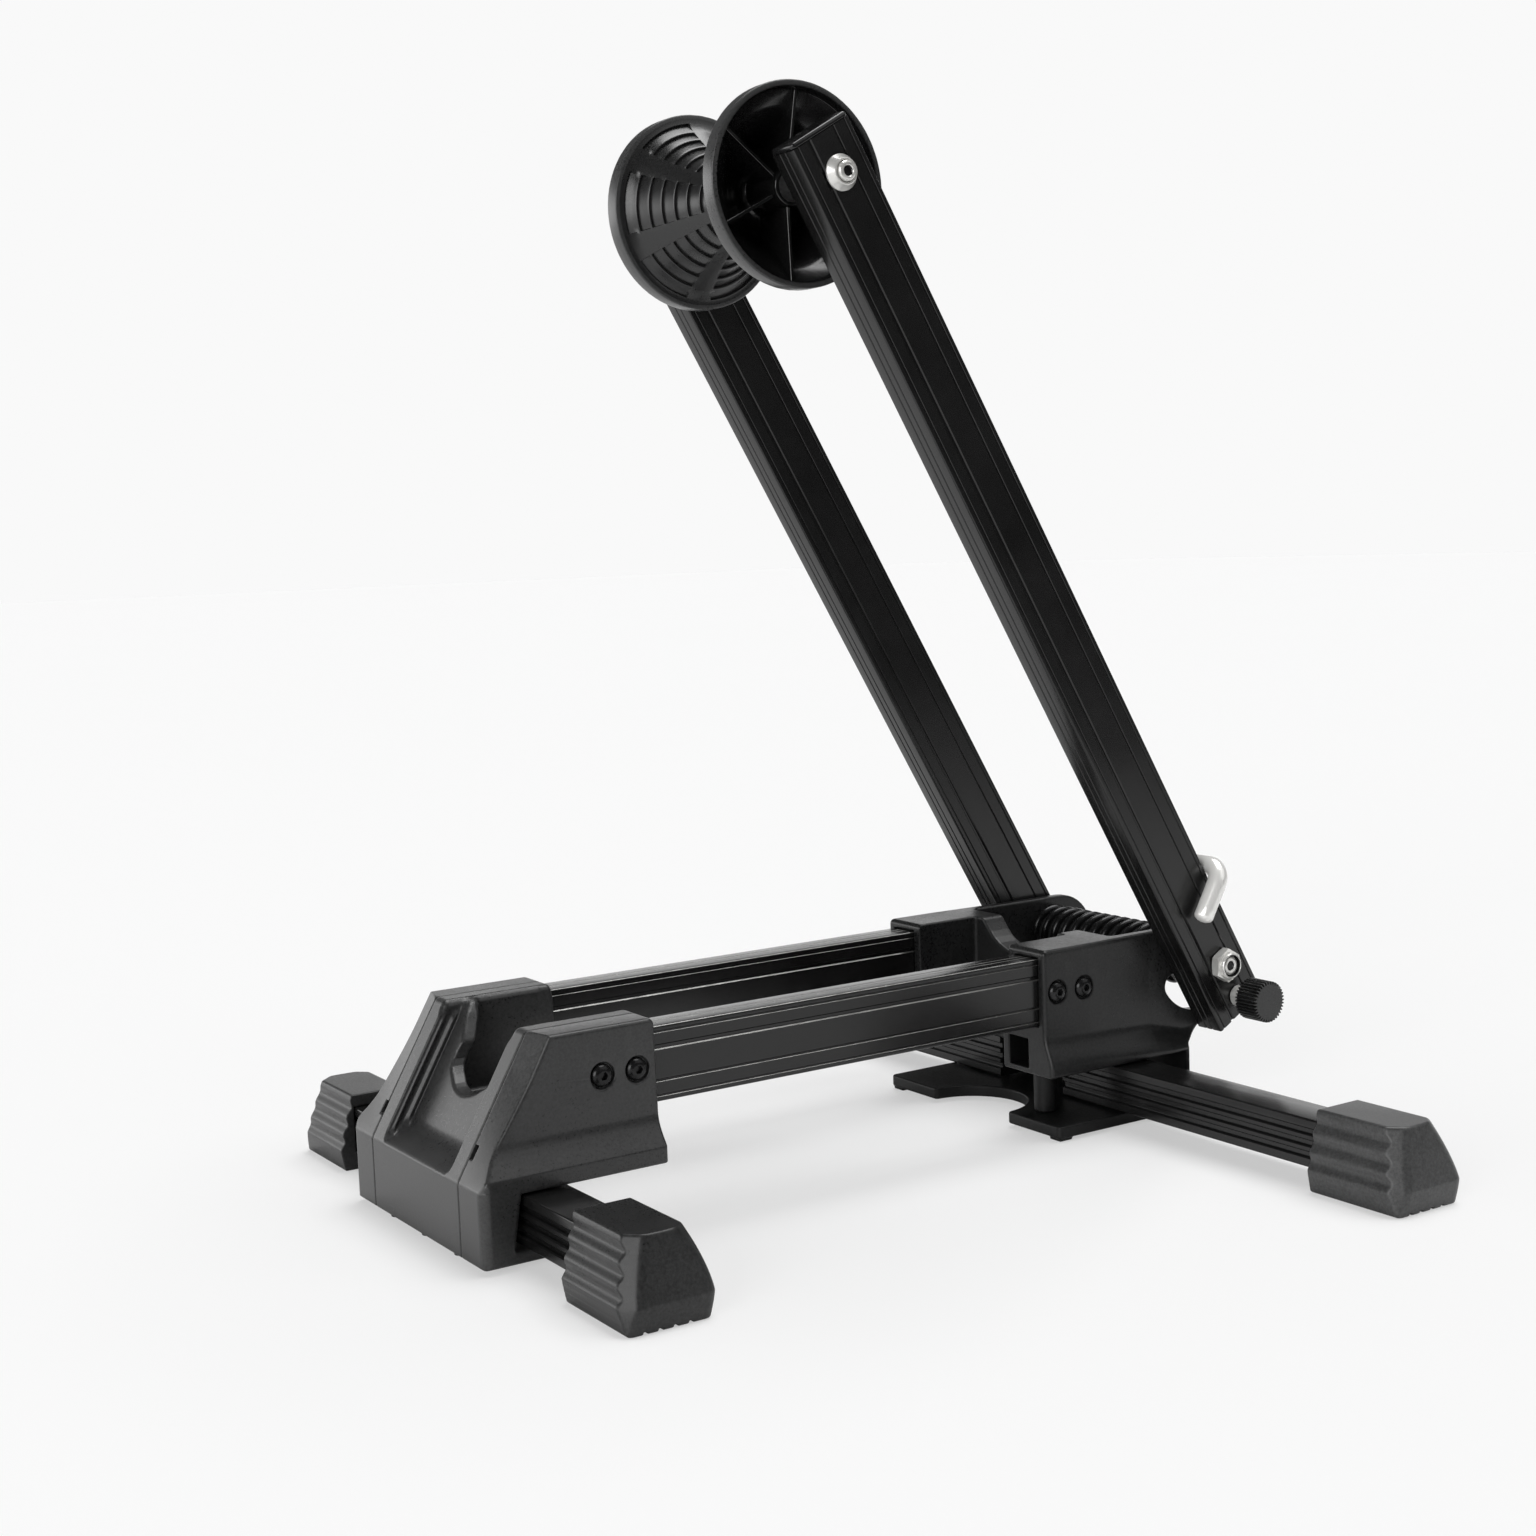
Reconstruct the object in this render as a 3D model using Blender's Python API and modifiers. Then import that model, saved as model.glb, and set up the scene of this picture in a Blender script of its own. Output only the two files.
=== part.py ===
"""Folding floor stand for a bicycle wheel.

Two rails join a front block with a tyre cradle to a rear block on a base plate. Four half-bars
with rubber feet fold out of the blocks. Two sprung arms carry a waisted roller that presses on
the tyre, and a thumb screw in a curved slot holds their angle.

Metres, +Z up. +X points from the front block to the rear block, and the left side is -Y.
The origin is on the floor, midway along the blocks.
"""
import math

import bmesh
import bpy
from mathutils import Matrix, Vector

# Clearances
FIT = 0.0003
BAR_CLEARANCE = 0.0007
ARM_SIDE_GAP = 0.0006

# Rails
RAIL_LENGTH = 0.2598
RAIL_HEIGHT = 0.030
RAIL_WIDTH = 0.015
RAIL_WALL = 0.0020
RAIL_CORNER = 0.0014
RAIL_MIDDLE_Y = 0.0447
RAIL_MIDDLE_Z = 0.0654
RAIL_INSERT = 0.0335

# Grooves of the rail and arm extrusion
LINE_WIDTH = 0.0006
LINE_DEPTH = 0.0003
MAIN_GROOVE_WIDTH = 0.0014
MAIN_GROOVE_DEPTH = 0.0006
STEP_GROOVE_WIDTH = 0.0008
STEP_GROOVE_DEPTH = 0.0004

# Cross bars, each a half-bar on its own upright pin
BAR_SIZE = 0.020
BAR_BORE = 0.0125
BAR_CORNER = 0.0008
BAR_GROOVE_DEPTH = 0.0013
BAR_GROOVE_WIDTH = 0.0020
BAR_GROOVE_PITCH = 0.0048
BAR_UNDERSIDE = 0.0075
FRONT_BAR_X = 0.0275
FRONT_BAR_PIN_Y = 0.048
FRONT_BAR_REACH = 0.092
REAR_BAR_BEHIND_FACE = 0.0485
REAR_BAR_PIN_Y = 0.0520
REAR_BAR_REACH = 0.1635
REAR_BAR_TAIL = 0.0295
BAR_PIN_RADIUS = 0.0030
BAR_PIN_TOP = 0.041
BAR_PIN_BOTTOM = 0.0025

# Rubber feet
FOOT_LENGTH = 0.0465
FOOT_HEIGHT = 0.0331
FOOT_SOLE_WIDTH = 0.0348
FOOT_TOP_WIDTH = 0.0226
FOOT_SOLE_BAND = 0.0078
FOOT_END_SLOPE = 0.0056
FOOT_END_WALL = 0.0090
FOOT_END_FACE = 0.0190
FOOT_CORNER_CUT = 0.0074
FOOT_REAR_CORNER_CUT = 0.0022
FOOT_RIB_DEPTH = 0.0015
FOOT_TREAD_DEPTH = 0.0016
FOOT_TREAD_WIDTH = 0.0030

# Front block
FRONT_LENGTH = 0.0797
FRONT_FACE_TOP = 0.031
FRONT_RAMP_RUN = 0.0310
FRONT_UNDERSIDE = 0.0020
FRONT_FLOOR_LENGTH = 0.051
FRONT_SLOT_EDGE = 0.0130
SHELL_SETBACK = 0.0036
BLOCK_ROOF = 0.0035
SEAM_FROM_RAIL = 0.0040
TOWER_INNER_WALL = 0.0059
TOWER_OUTER_WALL = 0.0016
TOWER_DRAFT = 0.0010
SKIRT_FLARE = 0.0060
FLARE_TOP = 0.046
FLARE_BOTTOM = 0.036
CRADLE_RECESS = 0.009
CRADLE_WALL = 0.005
CRADLE_LEDGE = 0.037
CHANNEL_FLOOR = 0.045
NOTCH_BOTTOM = 0.053
NOTCH_WAIST = 0.0182
NOTCH_BOWL = 0.0130
NUB_RADIUS = 0.0024
NUB_SPACING = 0.030
RAMP_SLOT_WIDTH = 0.003
RAMP_SLOT_FROM = 0.0395
RAMP_SLOT_TO = 0.0445

# Rear block
REAR_SLEEVE_LENGTH = 0.0455
REAR_INNER_WALL = 0.0044
REAR_OUTER_WALL = 0.0045
REAR_PIVOT_BEHIND_FACE = 0.0930
REAR_END_BEHIND_PIVOT = 0.0275
REAR_PLATE_WALL = 0.002
REAR_LOWER_BEHIND_FACE = 0.0827
CHEEK_OUTER_Y = 0.0546
CHEEK_WALL = 0.0061
REAR_SKIRT_Y = 0.0598
REAR_FLOOR_TOP = 0.034
LEG_INNER_Y = 0.0276
LEG_TOP = 0.0475
SADDLE_BOTTOM = 0.070
SADDLE_WALL = 0.012
SOCKET_SIZE = 0.0130
SOCKET_DEPTH = 0.020
POST_RADIUS = 0.0050
POST_Y = 0.0360
POST_BEHIND_FACE = 0.0165

# Base plate
PLATE_UNDERSIDE = 0.0015
PLATE_HALF_WIDTH = 0.062
PLATE_AHEAD_OF_FACE = -0.0025
PLATE_BEHIND_WALL = 0.0
PLATE_NOTCH_RADIUS = 0.026
PLATE_STUB = 0.007

# Arms and their pivot
PIVOT_Z = 0.068
ARM_ANGLE = 120.1
ARM_DEPTH = 0.030
ARM_WIDTH = 0.015
ARM_WALL = 0.0018
ARM_CORNER = 0.0014
ARM_OFFSET = 0.0013
ARM_BELOW_PIVOT = 0.0264
ARM_AXLE_REACH = 0.3908
ARM_ABOVE_AXLE = 0.0192
CAP_PLATE = 0.0022
CAP_PLUG = 0.008
PIVOT_BOLT_RADIUS = 0.0040
PIVOT_NUT_ACROSS = 0.0135
PIVOT_NUT_HEIGHT = 0.0045
PIVOT_COLLAR_RADIUS = 0.0056
PIVOT_COLLAR_HEIGHT = 0.0018
PIVOT_SLEEVE_RADIUS = 0.0095

# Spring round the pivot
SPRING_WIRE_RADIUS = 0.0016
SPRING_TURNS = 13
SPRING_PITCH = 0.0063
SPRING_POINTS_PER_TURN = 9

# Thumb screw and its curved slot
KNOB_ORBIT = 0.0180
KNOB_ANGLE = 300.0
ARM_SWING = 82.0
SLOT_CLEARANCE = 0.0012
SLOT_SPARE_ANGLE = 3.0
KNOB_SHANK_RADIUS = 0.0040
KNOB_COLLAR_RADIUS = 0.00485
KNOB_COLLAR_LENGTH = 0.0112
KNOB_RADIUS = 0.0093
KNOB_LENGTH = 0.0085
KNOB_TEETH = 32
KNOB_TOOTH_DEPTH = 0.0006

# Bent rod behind the left arm
ROD_RADIUS = 0.0043
ROD_BEND = 0.0085
ROD_HEIGHT_ON_ARM = 0.042
ROD_LEG = 0.0255
ROD_INNER_LENGTH = 0.026
ROD_BEND_INSET = 0.0018
ROD_LEG_ANGLE = 29.4

# Roller
ROLLER_RADIUS = 0.0407
ROLLER_HALF_LENGTH = 0.04195
ROLLER_RIM_WIDTH = 0.0072
ROLLER_RIM_WALL = 0.0027
ROLLER_WAIST = 0.0135
ROLLER_WALL = 0.0030
ROLLER_WEB_RADIUS = 0.034
ROLLER_HUB_RADIUS = 0.0075
ROLLER_HUB_RECESS = 0.0060
ROLLER_RIBS = 6
ROLLER_RIB_WIDTH = 0.0013
AXLE_RADIUS = 0.0040
AXLE_NUT_RADIUS = 0.0071
AXLE_NUT_HEIGHT = 0.0040
SPACER_RADIUS = 0.0062

# Button-head screws
SCREW_RADIUS = 0.0025
SCREW_HEAD_RADIUS = 0.0046
SCREW_HEAD_HEIGHT = 0.0026
SCREW_SINK = 0.0016
SCREW_SOCKET_RADIUS = 0.0018
SCREW_LENGTH = 0.0200
SCREW_SPACING = 0.0152
FRONT_SCREW_FROM_REAR = 0.0086
REAR_SCREW_FROM_FACE = 0.0078

# Sizes that follow from those above
BLOCK_TOP = RAIL_MIDDLE_Z + RAIL_HEIGHT / 2 + FIT + BLOCK_ROOF
REAR_FACE = FRONT_LENGTH - RAIL_INSERT + RAIL_LENGTH - RAIL_INSERT
PIVOT_FROM_FRONT = REAR_FACE + REAR_PIVOT_BEHIND_FACE
OVERALL_LENGTH = PIVOT_FROM_FRONT + REAR_END_BEHIND_PIVOT
MIDDLE = OVERALL_LENGTH / 2
RAIL_INNER_Y = RAIL_MIDDLE_Y - RAIL_WIDTH / 2
RAIL_OUTER_Y = RAIL_MIDDLE_Y + RAIL_WIDTH / 2
SEAM_Y = RAIL_MIDDLE_Y - SEAM_FROM_RAIL
TOWER_INNER_Y = RAIL_INNER_Y - FIT - TOWER_INNER_WALL
TOWER_TOP_Y = RAIL_OUTER_Y + FIT + TOWER_OUTER_WALL
TOWER_FOOT_Y = TOWER_TOP_Y + TOWER_DRAFT
FRONT_SKIRT_Y = TOWER_FOOT_Y + SKIRT_FLARE
BAR_TOP = BAR_UNDERSIDE + BAR_SIZE
SKIRT_BOTTOM = BAR_TOP + BAR_CLEARANCE
FLOOR_TOP = BAR_UNDERSIDE - BAR_CLEARANCE
REAR_SLEEVE_Y = RAIL_OUTER_Y + FIT + REAR_OUTER_WALL
REAR_INNER_Y = RAIL_INNER_Y - FIT - REAR_INNER_WALL
CHEEK_INNER_Y = CHEEK_OUTER_Y - CHEEK_WALL
ARM_INNER_Y = CHEEK_OUTER_Y + ARM_SIDE_GAP
ARM_MIDDLE_Y = ARM_INNER_Y + ARM_WIDTH / 2
ARM_OUTER_Y = ARM_INNER_Y + ARM_WIDTH
ARM_TOP = ARM_AXLE_REACH + ARM_ABOVE_AXLE
REAR_BAR_X = REAR_FACE + REAR_BAR_BEHIND_FACE
REAR_WALL_X = REAR_FACE + REAR_LOWER_BEHIND_FACE
SPRING_RADIUS = PIVOT_SLEEVE_RADIUS + FIT + SPRING_WIRE_RADIUS
CUTTER_REACH = max(FRONT_SKIRT_Y, REAR_SKIRT_Y, PLATE_HALF_WIDTH) + 4 * POST_RADIUS

# Collections
for old in list(bpy.data.objects):
    bpy.data.objects.remove(old, do_unlink=True)
parts = bpy.data.collections.new("folding_wheel_stand")
cutters = bpy.data.collections.new("cutters")
bpy.context.scene.collection.children.link(parts)
bpy.context.scene.collection.children.link(cutters)

TURN = {
    "XY": Matrix.Identity(4),
    "XZ": Matrix(((1, 0, 0, 0), (0, 0, -1, 0), (0, 1, 0, 0), (0, 0, 0, 1))),
    "YZ": Matrix(((0, 0, 1, 0), (1, 0, 0, 0), (0, 1, 0, 0), (0, 0, 0, 1))),
}


def along(distance):
    """World X of a distance measured from the front face of the front block."""
    return distance - MIDDLE


# Finishes: colour, roughness and metallic value
BLACK_PLASTIC = ((0.022, 0.022, 0.023), 0.55, 0.0)
BLACK_METAL = ((0.012, 0.012, 0.012), 0.38, 0.6)
BLACK_STEEL = ((0.020, 0.020, 0.021), 0.32, 0.9)
RUBBER = ((0.045, 0.045, 0.046), 0.72, 0.0)
ZINC = ((0.72, 0.71, 0.68), 0.30, 1.0)


def finish(obj, look):
    """Give an object its own material."""
    colour, roughness, metallic = look
    material = bpy.data.materials.new(obj.name)
    material.use_nodes = True
    shader = material.node_tree.nodes["Principled BSDF"]
    shader.inputs["Base Color"].default_value = (*colour, 1)
    shader.inputs["Roughness"].default_value = roughness
    shader.inputs["Metallic"].default_value = metallic
    obj.data.materials.clear()
    obj.data.materials.append(material)
    return obj


def place(name, mesh, matrix=Matrix.Identity(4)):
    """Link a mesh into the parts collection as a named object."""
    obj = bpy.data.objects.new(name, mesh)
    obj.matrix_world = matrix
    parts.objects.link(obj)
    return obj


def baked(obj):
    """Evaluated mesh of an object, welded and with its normals facing out."""
    bpy.context.view_layer.update()
    evaluated = obj.evaluated_get(bpy.context.evaluated_depsgraph_get())
    mesh = bpy.data.meshes.new_from_object(evaluated)
    work = bmesh.new()
    work.from_mesh(mesh)
    bmesh.ops.remove_doubles(work, verts=work.verts, dist=0.000002)
    bmesh.ops.recalc_face_normals(work, faces=work.faces)
    work.to_mesh(mesh)
    work.free()
    return mesh


def prism(name, loops, plane, low, high):
    """Extrude closed 2D outlines across a plane, from low to high along its normal."""
    curve = bpy.data.curves.new(name, "CURVE")
    curve.dimensions = "2D"
    curve.fill_mode = "BOTH"
    curve.extrude = (high - low) / 2
    for loop in loops:
        spline = curve.splines.new("POLY")
        spline.points.add(len(loop) - 1)
        spline.use_cyclic_u = True
        spline.use_smooth = False
        for point, (u, v) in zip(spline.points, loop):
            point.co = (u, v, 0, 1)
    outline = bpy.data.objects.new(name + "_outline", curve)
    bpy.context.scene.collection.objects.link(outline)
    mesh = baked(outline)
    bpy.data.objects.remove(outline)
    middle = (high + low) / 2
    shift = -middle if plane == "XZ" else middle
    obj = place(name, mesh, TURN[plane] @ Matrix.Translation((0, 0, shift)))
    return apply_matrix(obj)


def apply_matrix(obj):
    """Move an object's matrix into its mesh."""
    obj.data.transform(obj.matrix_world)
    obj.matrix_world = Matrix.Identity(4)
    return obj


def box(name, x, y, z):
    """Box between pairs of coordinates."""
    work = bmesh.new()
    bmesh.ops.create_cube(work, size=1)
    size = Vector((x[1] - x[0], y[1] - y[0], z[1] - z[0]))
    middle = Vector((x[1] + x[0], y[1] + y[0], z[1] + z[0])) / 2
    bmesh.ops.scale(work, vec=size, verts=work.verts)
    bmesh.ops.translate(work, vec=middle, verts=work.verts)
    mesh = bpy.data.meshes.new(name)
    work.to_mesh(mesh)
    work.free()
    return place(name, mesh)


def circle(radius, sides, centre=(0, 0), start=0.0):
    """Points of a circle."""
    turns = [start + 2 * math.pi * k / sides for k in range(sides)]
    return [(centre[0] + radius * math.cos(t), centre[1] + radius * math.sin(t)) for t in turns]


def arc(centre, radius, start, end, steps):
    """Points of an arc between two angles in degrees, ends included."""
    turns = [math.radians(start + (end - start) * k / steps) for k in range(steps + 1)]
    return [(centre[0] + radius * math.cos(t), centre[1] + radius * math.sin(t)) for t in turns]


def rounded(corners, steps=3):
    """Round each corner (u, v, radius) of a polygon."""
    points = []
    count = len(corners)
    for k, (u, v, radius) in enumerate(corners):
        here = Vector((u, v))
        if radius <= 0:
            points.append((u, v))
            continue
        before = (Vector(corners[k - 1][:2]) - here).normalized()
        after = (Vector(corners[(k + 1) % count][:2]) - here).normalized()
        half = before.angle(after) / 2
        reach = radius / math.tan(half)
        centre = here + (before + after).normalized() * (radius / math.sin(half))
        first = here + before * reach - centre
        last = here + after * reach - centre
        sweep = first.angle_signed(last)
        for step in range(steps + 1):
            turned_arm = first.copy()
            turned_arm.rotate(Matrix.Rotation(-sweep * step / steps, 2))
            points.append(tuple(centre + turned_arm))
    return points


def cylinder(name, axis, centre, radius, length, sides=20):
    """Cylinder along X, Y or Z, centred on a point."""
    work = bmesh.new()
    bmesh.ops.create_cone(work, cap_ends=True, segments=sides, radius1=radius, radius2=radius, depth=length)
    turn = {
        "X": Matrix.Rotation(math.pi / 2, 4, "Y"),
        "Y": Matrix.Rotation(-math.pi / 2, 4, "X"),
        "Z": Matrix.Identity(4),
    }
    bmesh.ops.transform(work, matrix=Matrix.Translation(centre) @ turn[axis], verts=work.verts)
    mesh = bpy.data.meshes.new(name)
    work.to_mesh(mesh)
    work.free()
    return place(name, mesh)


def turned(name, profile, steps, closed=False):
    """Turn a profile of (radius, height) points about the Z axis."""
    mesh = bpy.data.meshes.new(name)
    edges = [(k, k + 1) for k in range(len(profile) - 1)]
    if closed:
        edges.append((len(profile) - 1, 0))
    mesh.from_pydata([(radius, 0, height) for radius, height in profile], edges, [])
    obj = place(name, mesh)
    screw = obj.modifiers.new("turn", "SCREW")
    screw.steps = steps
    screw.render_steps = steps
    screw.use_merge_vertices = True
    screw.merge_threshold = 0.00001
    return obj


def settle(obj, matrix=Matrix.Identity(4)):
    """Turn an object with modifiers into a plain mesh, moved by a matrix."""
    mesh = baked(obj)
    name = obj.name
    bpy.data.objects.remove(obj)
    mesh.transform(matrix)
    return place(name, mesh)


def loft(name, sections):
    """Skin between closed sections of equal point counts, capped at both ends."""
    work = bmesh.new()
    rings = [[work.verts.new(point) for point in section] for section in sections]
    for first, second in zip(rings, rings[1:]):
        for k in range(len(first)):
            after = (k + 1) % len(first)
            work.faces.new((first[k], first[after], second[after], second[k]))
    work.faces.new(rings[0])
    work.faces.new(rings[-1])
    bmesh.ops.recalc_face_normals(work, faces=work.faces)
    mesh = bpy.data.meshes.new(name)
    work.to_mesh(mesh)
    work.free()
    return place(name, mesh)


def combine(obj, tool, operation="DIFFERENCE"):
    """Boolean an object with a tool, which moves to the cutters."""
    boolean = obj.modifiers.new(tool.name, "BOOLEAN")
    boolean.operation = operation
    boolean.solver = "EXACT"
    boolean.object = tool
    parts.objects.unlink(tool)
    cutters.objects.link(tool)
    tool.hide_render = True
    tool.display_type = "WIRE"
    return obj


def smooth(obj, angle=35):
    """Shade round faces smooth and keep edges sharper than an angle."""
    obj.data.shade_smooth()
    obj.data.set_sharp_from_angle(angle=math.radians(angle))
    return obj


def hang(obj, pivot):
    """Parent an object to a pivot without moving it."""
    bpy.context.view_layer.update()
    obj.parent = pivot
    obj.matrix_parent_inverse = pivot.matrix_world.inverted()
    return obj


def pivot_empty(name, location, parent=None):
    """Empty on a joint's axis."""
    empty = bpy.data.objects.new(name, None)
    empty.empty_display_size = 0.02
    empty.location = location
    parts.objects.link(empty)
    if parent is not None:
        bpy.context.view_layer.update()
        empty.parent = parent
        empty.matrix_parent_inverse = parent.matrix_world.inverted()
    bpy.context.view_layer.update()
    return empty


def grooved_side(start, end, grooves):
    """Points along one side of a section, with (share along it, width, depth) grooves cut in."""
    start = Vector(start)
    end = Vector(end)
    run = (end - start).normalized()
    inward = Vector((-run.y, run.x))
    length = (end - start).length
    points = []
    for share, width, depth in sorted(grooves):
        middle = start + run * (share * length)
        near = middle - run * (width / 2)
        far = middle + run * (width / 2)
        points += [tuple(near), tuple(near + inward * depth), tuple(far + inward * depth), tuple(far)]
    return points


def extrusion_outline(width, depth, corner, wide_grooves, narrow_grooves):
    """Outer outline of a rectangular tube, counterclockwise, with grooves in its four sides."""
    u = width / 2
    v = depth / 2
    flipped = [(1 - share, groove, cut) for share, groove, cut in wide_grooves]
    points = []
    points += arc((u - corner, -v + corner), corner, -90, 0, 3)
    points += grooved_side((u, -v), (u, v), flipped)
    points += arc((u - corner, v - corner), corner, 0, 90, 3)
    points += grooved_side((u, v), (-u, v), narrow_grooves)
    points += arc((-u + corner, v - corner), corner, 90, 180, 3)
    points += grooved_side((-u, v), (-u, -v), wide_grooves)
    points += arc((-u + corner, -v + corner), corner, 180, 270, 3)
    points += grooved_side((-u, -v), (u, -v), narrow_grooves)
    return points


# Grooves of the rail and arm extrusion: share of the side from its top edge, width, depth
WIDE_GROOVES = [
    (0.08, LINE_WIDTH, LINE_DEPTH),
    (0.28, MAIN_GROOVE_WIDTH, MAIN_GROOVE_DEPTH),
    (0.72, STEP_GROOVE_WIDTH, STEP_GROOVE_DEPTH),
    (0.93, LINE_WIDTH, LINE_DEPTH),
]
NARROW_GROOVES = [(0.40, LINE_WIDTH, LINE_DEPTH), (0.50, LINE_WIDTH, LINE_DEPTH)]


def tube_section(width, depth, wall, corner):
    """Grooved outline and square bore of the rail and arm tube."""
    outer = extrusion_outline(width, depth, corner, WIDE_GROOVES, NARROW_GROOVES)
    u = width / 2 - wall
    v = depth / 2 - wall
    return [outer, [(-u, -v), (-u, v), (u, v), (u, -v)]]


def shifted(loops, offset):
    """Loops moved in their own plane."""
    return [[(u + offset[0], v + offset[1]) for u, v in loop] for loop in loops]


def side_holes(target, label, x, z, radius, y, sides=16):
    """Drill a hole along Y."""
    middle = (y[0] + y[1]) / 2
    drill = cylinder(label, "Y", (x, middle, z), radius, abs(y[1] - y[0]), sides)
    return combine(target, drill)


FRONT_SCREWS = [FRONT_LENGTH - FRONT_SCREW_FROM_REAR - SCREW_SPACING, FRONT_LENGTH - FRONT_SCREW_FROM_REAR]
REAR_SCREWS = [REAR_FACE + REAR_SCREW_FROM_FACE, REAR_FACE + REAR_SCREW_FROM_FACE + SCREW_SPACING]


def tower_y(height):
    """Outer face of the front block's side at a height."""
    share = (height - FLARE_TOP) / (BLOCK_TOP - FLARE_TOP)
    return TOWER_FOOT_Y + (TOWER_TOP_Y - TOWER_FOOT_Y) * share


FRONT_SCREW_FACE = tower_y(RAIL_MIDDLE_Z) - SCREW_SINK
REAR_SCREW_FACE = REAR_SLEEVE_Y - SCREW_SINK


def front_profile():
    """Side outline of the front block."""
    slope = FRONT_RAMP_RUN / (BLOCK_TOP - FRONT_FACE_TOP)
    return rounded([
        (0, FRONT_UNDERSIDE, 0.001),
        (FRONT_FLOOR_LENGTH, FRONT_UNDERSIDE, 0.001),
        (FRONT_FLOOR_LENGTH, FLOOR_TOP, 0.001),
        (FRONT_SLOT_EDGE, FLOOR_TOP, 0.001),
        (FRONT_BAR_X - BAR_SIZE / 2 - BAR_CLEARANCE, SKIRT_BOTTOM, 0),
        (FRONT_LENGTH, SKIRT_BOTTOM, 0.001),
        (FRONT_LENGTH, BLOCK_TOP, 0.0025),
        (slope * (BLOCK_TOP - FRONT_FACE_TOP), BLOCK_TOP, 0.003),
        (0, FRONT_FACE_TOP, 0.003),
    ], 3)


def ramp_at(height):
    """Distance of the ramp's face behind the front face at a height."""
    return FRONT_RAMP_RUN * (height - FRONT_FACE_TOP) / (BLOCK_TOP - FRONT_FACE_TOP)


# Front cradle: the middle of the front block, with the tyre notch
front_outline = [(along(u), v) for u, v in front_profile()]
cradle = prism("front_cradle", [front_outline], "XZ", -SEAM_Y + FIT / 2, SEAM_Y - FIT / 2)
over = BLOCK_TOP + 0.01
recess = prism("cradle_recess", [[
    (along(ramp_at(CRADLE_LEDGE) - 0.006), CRADLE_LEDGE),
    (along(ramp_at(CRADLE_LEDGE) + CRADLE_RECESS), CRADLE_LEDGE),
    (along(ramp_at(over) + CRADLE_RECESS), over),
    (along(ramp_at(over) - 0.006), over),
]], "XZ", -TOWER_INNER_Y, TOWER_INNER_Y)
combine(cradle, recess)
behind = CRADLE_RECESS + CRADLE_WALL
channel = prism("cradle_channel", [[
    (along(ramp_at(CHANNEL_FLOOR) + behind), CHANNEL_FLOOR),
    (along(FRONT_LENGTH + 0.02), CHANNEL_FLOOR),
    (along(FRONT_LENGTH + 0.02), over),
    (along(ramp_at(over) + behind), over),
]], "XZ", -TOWER_INNER_Y, TOWER_INNER_Y)
combine(cradle, channel)
notch_half = [
    (TOWER_INNER_Y - 0.0005, over),
    (TOWER_INNER_Y - 0.0005, BLOCK_TOP),
    (NOTCH_WAIST + 0.0035, BLOCK_TOP - 0.0085),
    (NOTCH_WAIST, BLOCK_TOP - 0.0160),
    (NOTCH_WAIST, BLOCK_TOP - 0.0205),
    (NOTCH_BOWL, NOTCH_BOTTOM + 0.0045),
    (NOTCH_BOWL * 0.55, NOTCH_BOTTOM + 0.0012),
    (0, NOTCH_BOTTOM),
]
notch_outline = notch_half + [(-u, v) for u, v in reversed(notch_half[:-1])]
notch = prism("cradle_notch", [notch_outline], "YZ", along(0), along(FRONT_LENGTH * 0.95))
combine(cradle, notch)
for side, label in ((-1, "left"), (1, "right")):
    wide = sorted((side * (RAIL_INNER_Y - FIT), side * (SEAM_Y + 0.01)))
    pocket = box("cradle_pocket_" + label, (along(FRONT_LENGTH - RAIL_INSERT - FIT), along(FRONT_LENGTH + 0.02)),
                 wide, (RAIL_MIDDLE_Z - RAIL_HEIGHT / 2 - FIT, RAIL_MIDDLE_Z + RAIL_HEIGHT / 2 + FIT))
    combine(cradle, pocket)
    for k, distance in enumerate(FRONT_SCREWS):
        inner = FRONT_SCREW_FACE - SCREW_LENGTH - 2 * FIT
        side_holes(cradle, f"cradle_screw_{label}_{k}", along(distance), RAIL_MIDDLE_Z, SCREW_RADIUS + FIT,
                   (side * inner, side * (SEAM_Y + 0.01)), 12)
for k in (-1, 0, 1):
    nub = cylinder(f"cradle_nub_{k + 1}", "Z", (along(0.0045), k * NUB_SPACING, FRONT_UNDERSIDE / 2 + 0.0005),
                   NUB_RADIUS, FRONT_UNDERSIDE + 0.001, 10)
    combine(cradle, nub, "UNION")
finish(cradle, BLACK_PLASTIC)


def shell_front(height, setback, side):
    """Plan of what is cut off a shell's ramp at a height, so that it turns back towards its side."""
    front = along(ramp_at(height))
    reach = FRONT_SKIRT_Y + 0.01
    steep = setback / (TOWER_TOP_Y - SEAM_Y)
    outline = [
        (front - 0.02, SEAM_Y - 0.004),
        (front - steep * 0.004 - 0.00005, SEAM_Y - 0.004),
        (front + steep * (reach - SEAM_Y) - 0.00005, reach),
        (front - 0.02, reach),
    ]
    return [(u, side * v, height) for u, v in outline]


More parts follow.
